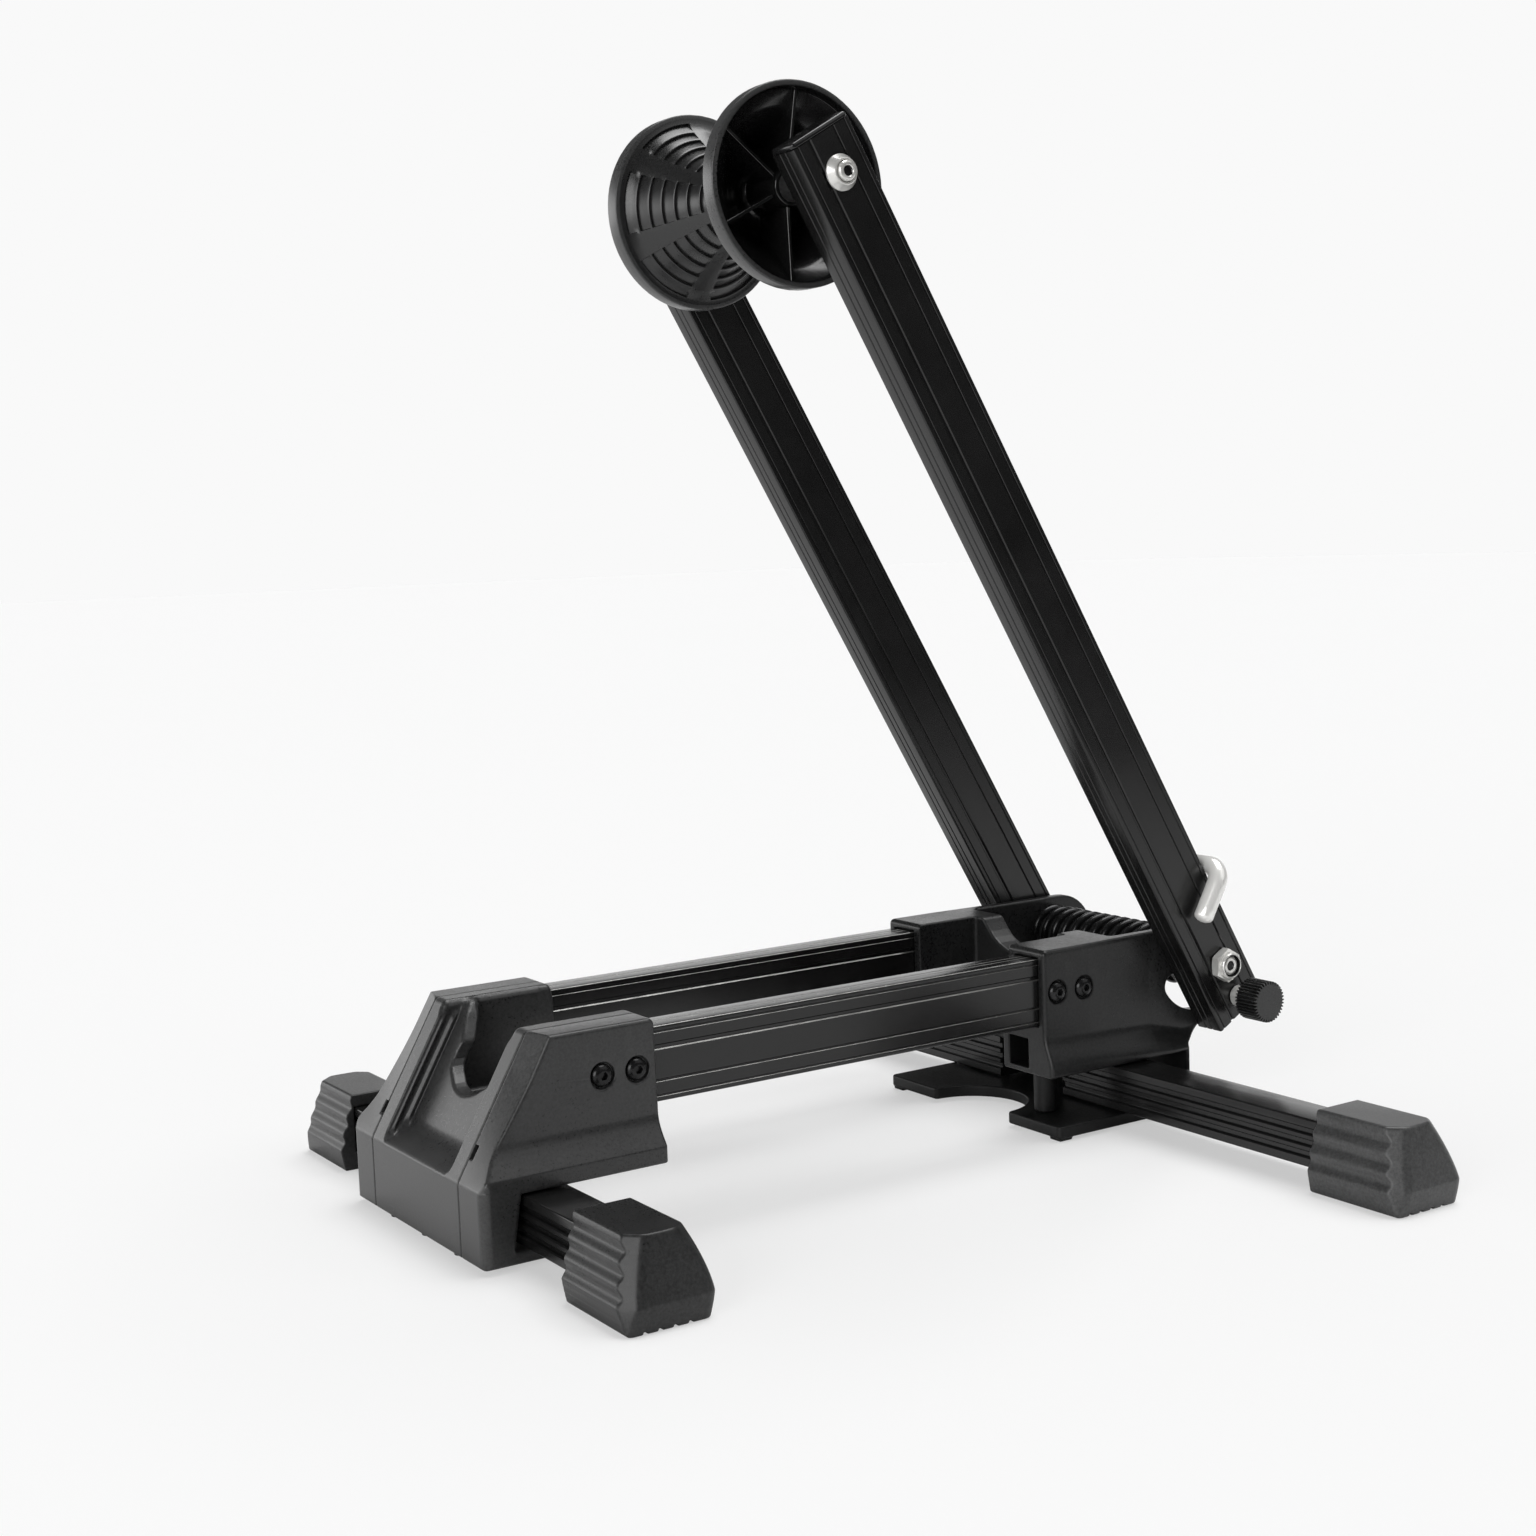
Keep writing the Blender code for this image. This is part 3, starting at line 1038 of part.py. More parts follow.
# Spring and its sleeve round the pivot bolt
loops = shifted([circle(PIVOT_SLEEVE_RADIUS, 20), circle(PIVOT_BOLT_RADIUS + FIT, 16)], (pivot_x, PIVOT_Z))
finish(prism("spring_sleeve", loops, "XZ", -CHEEK_INNER_Y + FIT, CHEEK_INNER_Y - FIT), BLACK_PLASTIC)
coil = []
count = SPRING_TURNS * SPRING_POINTS_PER_TURN
for k in range(count + 1):
    turn = 2 * math.pi * k / SPRING_POINTS_PER_TURN
    y = (k / SPRING_POINTS_PER_TURN - SPRING_TURNS / 2) * SPRING_PITCH
    reach = SPRING_RADIUS / math.cos(math.pi / SPRING_POINTS_PER_TURN)
    coil.append(Vector((pivot_x + reach * math.cos(turn), y, PIVOT_Z + reach * math.sin(turn))))
least = min((coil[k] - coil[k + SPRING_POINTS_PER_TURN + d]).length for k in range(count - SPRING_POINTS_PER_TURN)
            for d in (-1, 0, 1) if k + SPRING_POINTS_PER_TURN + d <= count)
print("Least gap between the spring's turns: %.2f mm" % ((least - 2 * SPRING_WIRE_RADIUS) * 1000))
wire = bpy.data.curves.new("torsion_spring", "CURVE")
wire.dimensions = "3D"
wire.bevel_depth = SPRING_WIRE_RADIUS
wire.bevel_resolution = 1
wire.use_fill_caps = True
spline = wire.splines.new("POLY")
spline.points.add(len(coil) - 1)
for point, place_at in zip(spline.points, coil):
    point.co = (*place_at, 1)
spring_curve = bpy.data.objects.new("torsion_spring", wire)
parts.objects.link(spring_curve)
finish(smooth(settle(spring_curve)), BLACK_STEEL)

# Roller: a waisted drum with a bowl at each end
rim_in = ROLLER_HALF_LENGTH - ROLLER_RIM_WIDTH
cone_rise = ROLLER_WEB_RADIUS - ROLLER_WAIST


def drum(share):
    """Outer radius of the drum at a share of the way from its waist to the web's edge."""
    return ROLLER_WAIST + cone_rise * (0.62 * share ** 1.9 + 0.38 * share)


web_y = rim_in - 0.0022
profile = [(ROLLER_RADIUS - 0.0006, ROLLER_HALF_LENGTH), (ROLLER_RADIUS, ROLLER_HALF_LENGTH - 0.0006),
           (ROLLER_RADIUS, rim_in + 0.0004), (ROLLER_RADIUS - ROLLER_RIM_WALL, rim_in)]
shares = [1.0, 0.75, 0.5, 0.25]
profile += [(drum(share), web_y * share) for share in shares]
outer_profile = profile + [(ROLLER_WAIST, 0)] + [(radius, -y) for radius, y in reversed(profile)]
bowl = [
    (ROLLER_RADIUS - ROLLER_RIM_WALL, ROLLER_HALF_LENGTH),
    (ROLLER_RADIUS - ROLLER_RIM_WALL - 0.0012, rim_in + ROLLER_WALL),
]
bowl += [(drum(share) - 0.0008, web_y * share + ROLLER_WALL) for share in (0.88, 0.62, 0.38)]
bowl += [(ROLLER_HUB_RADIUS, web_y * 0.38 + ROLLER_WALL), (ROLLER_HUB_RADIUS, ROLLER_HALF_LENGTH - ROLLER_HUB_RECESS)]
bore = AXLE_RADIUS + FIT
bowl += [(bore, ROLLER_HALF_LENGTH - ROLLER_HUB_RECESS)]
inner_profile = [(radius, -y) for radius, y in bowl] + list(reversed(bowl))
roller = turned("roller", outer_profile + inner_profile, 32, closed=True)
roller = settle(roller, Matrix.Rotation(-math.pi / 2, 4, "X"))
rib_half = [
    (bore + 0.0015, web_y * 0.38 + ROLLER_WALL - 0.001),
    (drum(0.38) - 0.0003, web_y * 0.38 + ROLLER_WALL - 0.001),
    (drum(0.62) - 0.0003, web_y * 0.62 + ROLLER_WALL - 0.001),
    (drum(0.88) - 0.0003, web_y * 0.88 + ROLLER_WALL - 0.001),
    (ROLLER_RADIUS - ROLLER_RIM_WALL - 0.0003, rim_in + ROLLER_WALL - 0.001),
    (ROLLER_RADIUS - ROLLER_RIM_WALL + 0.0005, ROLLER_HALF_LENGTH - 0.0035),
    (bore + 0.0015, ROLLER_HALF_LENGTH - ROLLER_HUB_RECESS - 0.0020),
]
for side in (-1, 1):
    for k in range(ROLLER_RIBS):
        outline = [(radius, side * y) for radius, y in rib_half]
        if side < 0:
            outline.reverse()
        rib = prism(f"roller_rib_{side}_{k}", [outline], "XY", -ROLLER_RIB_WIDTH / 2, ROLLER_RIB_WIDTH / 2)
        rib.data.transform(Matrix.Rotation(math.radians(30 + k * 360 / ROLLER_RIBS), 4, "Y"))
        combine(roller, rib, "UNION")
roller = settle(roller)
axle_world = lean @ Vector((-ARM_OFFSET, 0, ARM_AXLE_REACH))
roller_spin = pivot_empty("roller_spin", axle_world, arm_hinge)
roller.matrix_world = Matrix.Translation(axle_world)
finish(smooth(roller), BLACK_PLASTIC)
hang(roller, roller_spin)

# Thumb screw: knurled head, plain collar and a shank through the arm and the curved slot
knob_spin = pivot_empty("knob_spin", (knob_world.x, -ARM_OUTER_Y, knob_world.z), arm_hinge)
collar_from = ARM_OUTER_Y + FIT
head_from = collar_from + KNOB_COLLAR_LENGTH + FIT
teeth = []
for k in range(KNOB_TEETH * 2):
    radius = KNOB_RADIUS - (KNOB_TOOTH_DEPTH if k % 2 else 0)
    turn = math.pi * k / KNOB_TEETH
    teeth.append((knob_world.x + radius * math.cos(turn), knob_world.z + radius * math.sin(turn)))
head = prism("thumb_knob", [teeth], "XZ", -head_from - KNOB_LENGTH, -head_from)
finish(head, BLACK_PLASTIC)
hang(head, knob_spin)
stem_profile = [
    (0, 0),
    (KNOB_COLLAR_RADIUS, 0),
    (KNOB_COLLAR_RADIUS, -KNOB_COLLAR_LENGTH),
    (KNOB_SHANK_RADIUS, -KNOB_COLLAR_LENGTH),
    (KNOB_SHANK_RADIUS, -KNOB_COLLAR_LENGTH - ARM_WIDTH - ARM_SIDE_GAP - CHEEK_WALL - 0.002),
    (0, -KNOB_COLLAR_LENGTH - ARM_WIDTH - ARM_SIDE_GAP - CHEEK_WALL - 0.002),
]
stem = turned("thumb_screw", stem_profile, 16)
stem = settle(stem, Matrix.Translation((knob_world.x, -collar_from - KNOB_COLLAR_LENGTH, knob_world.z))
              @ Matrix.Rotation(math.pi / 2, 4, "X"))
finish(smooth(stem), ZINC)
hang(stem, knob_spin)

# Button-head screws that hold the rails in the blocks
screw_profile = [
    (0, SCREW_HEAD_HEIGHT - 0.0014),
    (SCREW_SOCKET_RADIUS, SCREW_HEAD_HEIGHT - 0.0012),
    (SCREW_SOCKET_RADIUS, SCREW_HEAD_HEIGHT),
    (SCREW_HEAD_RADIUS * 0.66, SCREW_HEAD_HEIGHT * 0.88),
    (SCREW_HEAD_RADIUS, SCREW_HEAD_HEIGHT * 0.30),
    (SCREW_HEAD_RADIUS, 0),
    (SCREW_RADIUS, 0),
    (SCREW_RADIUS, -SCREW_LENGTH),
    (0, -SCREW_LENGTH),
]
for end, distances, face in (("front", FRONT_SCREWS, FRONT_SCREW_FACE), ("rear", REAR_SCREWS, REAR_SCREW_FACE)):
    for side, label in ((-1, "left"), (1, "right")):
        turn = Matrix.Rotation(-side * math.pi / 2, 4, "X")
        for k, distance in enumerate(distances):
            screw = turned(f"{end}_screw_{label}_{k + 1}", screw_profile, 10)
            screw = settle(screw, turn)
            screw.matrix_world = Matrix.Translation((along(distance), side * face, RAIL_MIDDLE_Z))
            finish(smooth(screw), BLACK_STEEL)
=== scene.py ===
"""Looks of the folding bicycle floor stand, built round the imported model.

The moulded blocks, the base plate and the feet are written as signed distances in millimetres,
with every edge rounded, and skinned into meshes. Extrusions, turned parts and wires are meshes
of their own. Each piece rides on a body of the frame and stands for the node that it finishes.
"""

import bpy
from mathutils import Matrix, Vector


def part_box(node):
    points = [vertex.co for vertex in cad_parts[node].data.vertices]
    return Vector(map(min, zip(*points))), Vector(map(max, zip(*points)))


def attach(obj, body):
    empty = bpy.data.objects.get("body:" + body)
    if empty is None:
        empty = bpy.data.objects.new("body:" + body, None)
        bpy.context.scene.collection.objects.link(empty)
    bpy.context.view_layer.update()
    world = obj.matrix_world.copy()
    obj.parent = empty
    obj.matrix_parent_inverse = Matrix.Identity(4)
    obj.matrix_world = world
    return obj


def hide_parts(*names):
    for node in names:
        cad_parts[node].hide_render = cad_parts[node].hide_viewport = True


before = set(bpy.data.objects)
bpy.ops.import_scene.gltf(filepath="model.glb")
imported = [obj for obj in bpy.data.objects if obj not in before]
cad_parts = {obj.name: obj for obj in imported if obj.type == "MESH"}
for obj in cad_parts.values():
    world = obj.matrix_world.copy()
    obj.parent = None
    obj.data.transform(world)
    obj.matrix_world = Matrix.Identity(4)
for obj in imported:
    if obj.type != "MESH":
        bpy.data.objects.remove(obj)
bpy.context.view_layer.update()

from functools import reduce
from math import asin, ceil, copysign, cos, degrees, hypot, pi, radians, sin, sqrt, tan

import bmesh
import bpy
import numpy as np
from mathutils import Matrix, Vector

MM = 0.001
at = Matrix.Translation
COARSE = 1

# Where the stand's zero along X lies: distances below count from the front block's face
FRONT_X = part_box("front_cradle")[0].x / MM


# ---------------- signed distances
class Grid:
    """Sample points of a box in millimetres. A mirrored grid holds the half with y above zero."""

    def __init__(self, low, high, step, mirrored=False):
        self.step = step
        self.mirrored = mirrored
        counts = [ceil((b - a) / step) + 1 for a, b in zip(low, high)]
        start = [low[0], step / 2 if mirrored else low[1], low[2]]
        axes = [(start[k] + step * np.arange(counts[k])).astype(np.float32) for k in range(3)]
        self.x, self.y, self.z = np.ix_(*axes)
        self.low = np.array([axis[0] for axis in axes], float)
        self.shape = tuple(counts)

    def whole(self, field):
        """Fill the grid, and unfold it if it is mirrored."""
        field = np.ascontiguousarray(np.broadcast_to(field, self.shape), np.float32)
        if self.mirrored:
            field = np.concatenate([field[:, ::-1, :], field], axis=1)
            self.low[1] = -(self.shape[1] - 0.5) * self.step
            self.shape = field.shape
            self.y = (self.low[1] + self.step * np.arange(self.shape[1])).astype(np.float32)[None, :, None]
            self.mirrored = False
        return field


def meet(a, b, r=0):
    """Where both a and b are solid, with the edge between them rounded by r."""
    if np.ndim(r) == 0 and r <= 0:
        return np.maximum(a, b)
    outside = np.sqrt(np.maximum(a + r, 0) ** 2 + np.maximum(b + r, 0) ** 2)
    return np.minimum(-r, np.maximum(a, b)) + outside


def join(a, b, r=0):
    """Where a or b is solid, with the corner between them filled by r."""
    return -meet(-a, -b, r)


def cut(a, b, r=0):
    """a without b, with the edge of the cut rounded by r."""
    return meet(a, -b, r)


def both(*fields):
    """Where all of the fields are solid, with sharp edges."""
    return reduce(np.maximum, fields)


def slab(v, low, high):
    """Between two values."""
    return np.maximum(low - v, v - high)


def graded(v, places, values):
    """A value that follows a table along v."""
    return np.interp(v, places, values).astype(np.float32)


def disc(u, v, centre, radius):
    """A circle, or a cylinder along the third axis."""
    return np.hypot(u - centre[0], v - centre[1]) - radius


def polygon(u, v, points):
    """A closed outline."""
    nearest = np.float32(1e12)
    sign = np.float32(1)
    for (ax, ay), (bx, by) in zip(points, points[1:] + points[:1]):
        ex, ey = bx - ax, by - ay
        if ex * ex + ey * ey < 1e-10:
            continue
        px, py = u - ax, v - ay
        share = np.clip((px * ex + py * ey) / (ex * ex + ey * ey), 0, 1)
        nearest = np.minimum(nearest, (px - ex * share) ** 2 + (py - ey * share) ** 2)
        if abs(ey) > 1e-9:
            crossed = ((ay > v) != (by > v)) & (px < py * (ex / ey))
            sign = np.where(crossed, -sign, sign)
    return np.sqrt(nearest) * sign


def ease(t):
    """0 below 0, 1 above 1, and smooth between."""
    t = np.clip(t, 0, 1)
    return t * t * (3 - 2 * t)


CORNERS = np.array([(i, j, k) for i in (0, 1) for j in (0, 1) for k in (0, 1)])
CELL_EDGES = [(a, b) for a in range(8) for b in range(a + 1, 8) if np.abs(CORNERS[a] - CORNERS[b]).sum() == 1]


def sample(field, points):
    """The field between its samples, at points in grid steps."""
    top = np.array(field.shape) - 2
    base = np.clip(np.floor(points).astype(int), 0, top)
    share = points - base
    total = 0
    for corner in CORNERS:
        weight = np.prod(np.where(corner == 1, share, 1 - share), axis=1)
        total = total + weight * field[tuple((base + corner).T)]
    return total


def slope(field, points):
    """The field's gradient per step."""
    return np.stack([sample(field, points + shift) - sample(field, points - shift) for shift in np.eye(3) / 2], 1)


def skin(name, grid, field):
    """Mesh of a field's zero surface: one point per crossed cell, moved onto the surface, flat areas merged."""
    field = grid.whole(field)
    inside = field < 0
    cells_shape = tuple(n - 1 for n in field.shape)
    count = np.zeros(cells_shape, np.int8)
    for i, j, k in CORNERS:
        count += inside[i:i + cells_shape[0], j:j + cells_shape[1], k:k + cells_shape[2]]
    cells = np.argwhere((count > 0) & (count < 8))
    values = [field[tuple((cells + corner).T)] for corner in CORNERS]
    total = np.zeros((len(cells), 3))
    hits = np.zeros(len(cells))
    for a, b in CELL_EDGES:
        crossed = (values[a] < 0) != (values[b] < 0)
        share = values[a][crossed] / (values[a][crossed] - values[b][crossed])
        total[crossed] += CORNERS[a] + share[:, None] * (CORNERS[b] - CORNERS[a])
        hits[crossed] += 1
    points = cells + total / hits[:, None]
    for _ in range(2):
        gradient = slope(field, points)
        size = np.maximum((gradient ** 2).sum(1), 1e-6)
        move = -(sample(field, points) / size)[:, None] * gradient
        points += np.clip(move, -0.3, 0.3)
    index = np.full(cells_shape, -1, np.int32)
    index[tuple(cells.T)] = np.arange(len(cells))
    quads = []
    unit = np.eye(3, dtype=int)
    for axis in range(3):
        u, v = (axis + 1) % 3, (axis + 2) % 3
        ends = (slice(0, -1), slice(1, None))
        first, second = (inside[tuple(end if k == axis else slice(1, -1) for k in range(3))] for end in ends)
        for crossed, order in ((first & ~second, 1), (second & ~first, -1)):
            edges = np.argwhere(crossed)
            around = [du * unit[u] + dv * unit[v] for du, dv in ((0, 0), (1, 0), (1, 1), (0, 1))[::order]]
            quads.append(np.stack([index[tuple((edges + shift).T)] for shift in around], 1))
    quads = np.concatenate(quads)
    mesh = bpy.data.meshes.new(name)
    mesh.vertices.add(len(points))
    mesh.vertices.foreach_set("co", points.astype(np.float32).ravel())
    mesh.loops.add(quads.size)
    mesh.loops.foreach_set("vertex_index", quads.astype(np.int32).ravel())
    mesh.polygons.add(len(quads))
    mesh.polygons.foreach_set("loop_start", (np.arange(len(quads)) * 4).astype(np.int32))
    mesh.update(calc_edges=True)
    work = bmesh.new()
    work.from_mesh(mesh)
    bmesh.ops.dissolve_limit(work, angle_limit=FLATNESS, verts=work.verts, edges=work.edges)
    work.to_mesh(mesh)
    work.free()
    mesh.shade_smooth()
    left = np.zeros(len(mesh.vertices) * 3)
    mesh.vertices.foreach_get("co", left)
    normals = slope(field, left.reshape(-1, 3))
    normals /= np.maximum(np.linalg.norm(normals, axis=1), 1e-9)[:, None]
    mesh.normals_split_custom_set_from_vertices(normals.tolist())
    corner = at(grid.low + np.array([FRONT_X, 0, 0]))
    mesh.transform(Matrix.Scale(MM, 4) @ corner @ Matrix.Scale(grid.step, 4))
    return add(name, mesh)


FLATNESS = 0.004


# ---------------- meshes
def add(name, data):
    """A new object of the scene."""
    obj = bpy.data.objects.new(name, data)
    bpy.context.scene.collection.objects.link(obj)
    return obj


def arc(centre, radius, start, end, steps):
    """Points of an arc between two angles in degrees, ends included."""
    turns = [radians(start + (end - start) * k / steps) for k in range(steps + 1)]
    return [(centre[0] + radius * cos(t), centre[1] + radius * sin(t)) for t in turns]


def rounded(corners, steps=6):
    """Round each corner (u, v, radius) of a polygon."""
    points = []
    count = len(corners)
    for k, (u, v, radius) in enumerate(corners):
        here = Vector((u, v))
        if radius <= 0:
            points.append((u, v))
            continue
        before = (Vector(corners[k - 1][:2]) - here).normalized()
        after = (Vector(corners[(k + 1) % count][:2]) - here).normalized()
        half = before.angle(after) / 2
        reach = radius / tan(half)
        centre = here + (before + after).normalized() * (radius / sin(half))
        first = here + before * reach - centre
        last = here + after * reach - centre
        sweep = first.angle_signed(last)
        for step in range(steps + 1):
            turned_arm = first.copy()
            turned_arm.rotate(Matrix.Rotation(-sweep * step / steps, 2))
            points.append(tuple(centre + turned_arm))
    return points


def closed_mesh(name, work):
    """Turn a bmesh into an object, with its normals facing out."""
    bmesh.ops.recalc_face_normals(work, faces=work.faces)
    mesh = bpy.data.meshes.new(name)
    work.to_mesh(mesh)
    work.free()
    return add(name, mesh)


def loft(work, rows):
    """Faces between closed rows of equally many vertices, which may coincide."""
    for first, second in zip(rows, rows[1:]):
        for k in range(len(first)):
            after = (k + 1) % len(first)
            corners = list(dict.fromkeys((first[k], first[after], second[after], second[k])))
            if len(corners) > 2:
                work.faces.new(corners)


def rings(name, sections):
    """Closed skin over loops of points, capped at both ends."""
    work = bmesh.new()
    rows = [[work.verts.new(point) for point in section] for section in sections]
    loft(work, rows)
    work.faces.new(rows[0])
    work.faces.new(rows[-1])
    return closed_mesh(name, work)


def extruded(name, loops, low, high):
    """Closed outlines in millimetres, holes included, extruded along Z."""
    curve = bpy.data.curves.new(name, "CURVE")
    curve.dimensions = "2D"
    curve.fill_mode = "BOTH"
    curve.extrude = (high - low) / 2
    for loop in loops:
        spline = curve.splines.new("POLY")
        spline.points.add(len(loop) - 1)
        spline.use_cyclic_u = True
        spline.use_smooth = False
        for point, (u, v) in zip(spline.points, loop):
            point.co = (u, v, 0, 1)
    outline = add(name, curve)
    mesh = settled_mesh(outline)
    mesh.transform(at((0, 0, (high + low) / 2)))
    bpy.data.objects.remove(outline)
    return add(name, mesh)


def settled_mesh(obj):
    """Evaluated mesh of an object, welded and with its normals facing out."""
    bpy.context.view_layer.update()
    evaluated = obj.evaluated_get(bpy.context.evaluated_depsgraph_get())
    mesh = bpy.data.meshes.new_from_object(evaluated)
    work = bmesh.new()
    work.from_mesh(mesh)
    bmesh.ops.remove_doubles(work, verts=work.verts, dist=0.002 if obj.type == "CURVE" else 0.000001)
    bmesh.ops.recalc_face_normals(work, faces=work.faces)
    work.to_mesh(mesh)
    work.free()
    return mesh


def turned(name, profile, steps):
    """Turn a closed profile (radius, height) about Z. Points on the axis make a pole."""
    work = bmesh.new()
    columns = []
    for radius, height in profile:
        turns = [2 * pi * k / steps for k in range(steps if radius > 0 else 1)]
        column = [work.verts.new((radius * cos(t), radius * sin(t), height)) for t in turns]
        columns.append(column if radius > 0 else column * steps)
    loft(work, columns + (columns[:1] if profile[0][0] > 0 else []))
    return closed_mesh(name, work)


def drill(obj, turn, centre, radius, length):
    """Bore a hole along Z, or along Y with the turn ALONG_Y."""
    work = bmesh.new()
    bmesh.ops.create_cone(work, cap_ends=True, segments=32, radius1=radius, radius2=radius, depth=length)
    bmesh.ops.transform(work, matrix=at(centre) @ turn, verts=work.verts)
    carve(obj, closed_mesh("drill", work))


def carve(obj, tool, operation="DIFFERENCE"):
    """Boolean an object with a tool and drop the tool."""
    boolean = obj.modifiers.new("carve", "BOOLEAN")
    boolean.operation = operation
    boolean.solver = "EXACT"
    boolean.object = tool
    mesh = settled_mesh(obj)
    obj.modifiers.clear()
    obj.data = mesh
    bpy.data.objects.remove(tool)


def wire(name, route, radius, sides=12, round_ends=False):
    """A round wire along a route of points in millimetres."""
    last = len(route) - 1
    tangents = [(route[min(k + 1, last)] - route[max(k - 1, 0)]).normalized() for k in range(last + 1)]
    side = tangents[0].orthogonal().normalized()
    stations = []
    for middle, tangent in zip(route, tangents):
        side = (side - tangent * side.dot(tangent)).normalized()
        stations.append((middle, side.copy(), tangent.cross(side), radius))
    if round_ends:
        ends = []
        for end, sign in ((0, -1), (last, 1)):
            middle, u, v, _ = stations[end]
            ends.append([(middle + tangents[end] * (sign * radius * 0.55 * sin(radians(turn))), u, v,
                          radius * cos(radians(turn))) for turn in (30, 60, 80)])
        stations = ends[0][::-1] + stations + ends[1]
    turns = [2 * pi * k / sides for k in range(sides)]
    return rings(name, [[middle + u * (reach * cos(t)) + v * (reach * sin(t)) for t in turns]
                        for middle, u, v, reach in stations])


# ---------------- materials
class Nodes:
    """Builds the shader nodes of one tree."""

    def __init__(self, tree):
        self.tree = tree

    def feed(self, value, target):
        """Link a socket to an input, or set the input to a value."""
        if isinstance(value, bpy.types.NodeSocket):
            self.tree.links.new(value, target)
        else:
            target.default_value = (*value, 1) if target.type == "RGBA" else value

    def add(self, kind, inputs, **settings):
        """Add a node with its settings, and feed its inputs. Gives back its outputs."""
        made = self.tree.nodes.new(kind)
        for key, value in settings.items():
            setattr(made, key, value)
        for key, value in inputs.items():
            self.feed(value, made.inputs[key])
        return made.outputs

    def maths(self, operation, first, second):
        """A maths node on two values or sockets."""
        return self.add("ShaderNodeMath", {0: first, 1: second}, operation=operation)[0]

    def noise(self, vector, scale, detail=4, roughness=0.55):
        """Noise texture on a vector."""
        inputs = {"Vector": vector, "Scale": scale, "Detail": detail, "Roughness": roughness}
        return self.add("ShaderNodeTexNoise", inputs)["Fac"]

    def remap(self, value, low, high, new_low, new_high):
        """Map a value range onto another."""
        inputs = {"Value": value, "From Min": low, "From Max": high, "To Min": new_low, "To Max": new_high}
        return self.add("ShaderNodeMapRange", inputs)["Result"]

    def blended(self, share, first, second):
        """Mix two colours by a value."""
        return self.add("ShaderNodeMix", {"Factor": share, 6: first, 7: second}, data_type="RGBA")[2]

    def bumped(self, height, distance):
        """Bump node on a height."""
        return self.add("ShaderNodeBump", {"Height": height, "Distance": distance})["Normal"]

    def space(self, scale=(1, 1, 1), rotation=(0, 0, 0)):
        """Coordinates fixed to the piece, turned and stretched."""
        coordinates = self.add("ShaderNodeTexCoord", {})["Object"]
        return self.add("ShaderNodeMapping", {"Vector": coordinates, "Rotation": rotation, "Scale": scale})["Vector"]


class Look(Nodes):
    """A material with its Principled shader and its slot."""

    def __init__(self, name, slot=""):
        self.material = bpy.data.materials.new(name)
        self.material.use_nodes = True
        self.slot = slot
        super().__init__(self.material.node_tree)

    def put(self, key, value):
        """Feed an input of the Principled shader."""
        self.feed(value, self.tree.nodes["Principled BSDF"].inputs[key])


DUST = (0.07, 0.07, 0.068)


def moulded(name, dark, light, rough_low, rough_high, grain=0.00003, scuff=0.35, sheen=0.5, slot="black_plastic"):
    """Moulded plastic or rubber: clouds of tone, a fine speckle, pale scuffs and a pitted grain."""
    look = Look(name, slot)
    look.put("Specular IOR Level", sheen)
    space = look.space()
    clouds = look.noise(space, 18, 4, 0.6)
    speckle = look.noise(space, 850, 4, 0.7)
    tone = look.maths("ADD", look.remap(clouds, 0.3, 0.7, 0, 0.42), look.remap(speckle, 0.34, 0.66, 0, 0.58))
    patches = look.remap(look.noise(space, 34, 6, 0.72), 0.54, 0.74, 0, scuff)
    streaks = look.remap(look.noise(look.space((1, 1, 0.25)), 260, 3, 0.6), 0.4, 0.65, 0, 1)
    base = look.blended(tone, dark, light)
    look.put("Base Color", look.blended(look.maths("MULTIPLY", patches, streaks), base, DUST))
    rough = look.remap(speckle, 0.36, 0.64, rough_low, rough_high)
    look.put("Roughness", look.maths("ADD", rough, look.remap(clouds, 0.35, 0.65, -0.03, 0.04)))
    look.put("Normal", look.bumped(speckle, grain))
    return look


def anodised(name, rotation=(0, 0, 0), along_axis=0, sheen=0.48):
    """Black anodised extrusion: faint drawing lines in its polish, cloudy dye and a low grain."""
    look = Look(name, "black_metal")
    look.put("Specular IOR Level", sheen)
    stretch = [0.02 if axis == along_axis else 1 for axis in range(3)]
    lines = look.noise(look.space(stretch, rotation), 900, 2, 0.5)
    clouds = look.noise(look.space(), 22, 4, 0.65)
    dye = look.remap(clouds, 0.3, 0.7, 0, 1)
    look.put("Base Color", look.blended(dye, (0.004, 0.004, 0.004), (0.009, 0.009, 0.009)))
    rough = look.remap(lines, 0.3, 0.7, 0.215, 0.225)
    look.put("Roughness", look.maths("ADD", rough, look.remap(clouds, 0.35, 0.65, -0.01, 0.03)))
    look.put("Normal", look.bumped(look.noise(look.space(), 600, 3, 0.6), 0.000006))
    return look


def plated(name, slot, dark, light, rough_low, rough_high, metallic, scratch=0.000004):
    """Plated or blackened steel: cloudy tone, fine scratches, uneven polish."""
    look = Look(name, slot)
    look.put("Metallic", metallic)
    clouds = look.noise(look.space(), 160, 4, 0.6)
    look.put("Base Color", look.blended(look.remap(clouds, 0.3, 0.7, 0, 1), dark, light))
    scratches = look.noise(look.space((1, 0.2, 1)), 700, 3, 0.6)
    look.put("Roughness", look.remap(scratches, 0.3, 0.7, rough_low, rough_high))
    look.put("Normal", look.bumped(scratches, scratch))
    return look


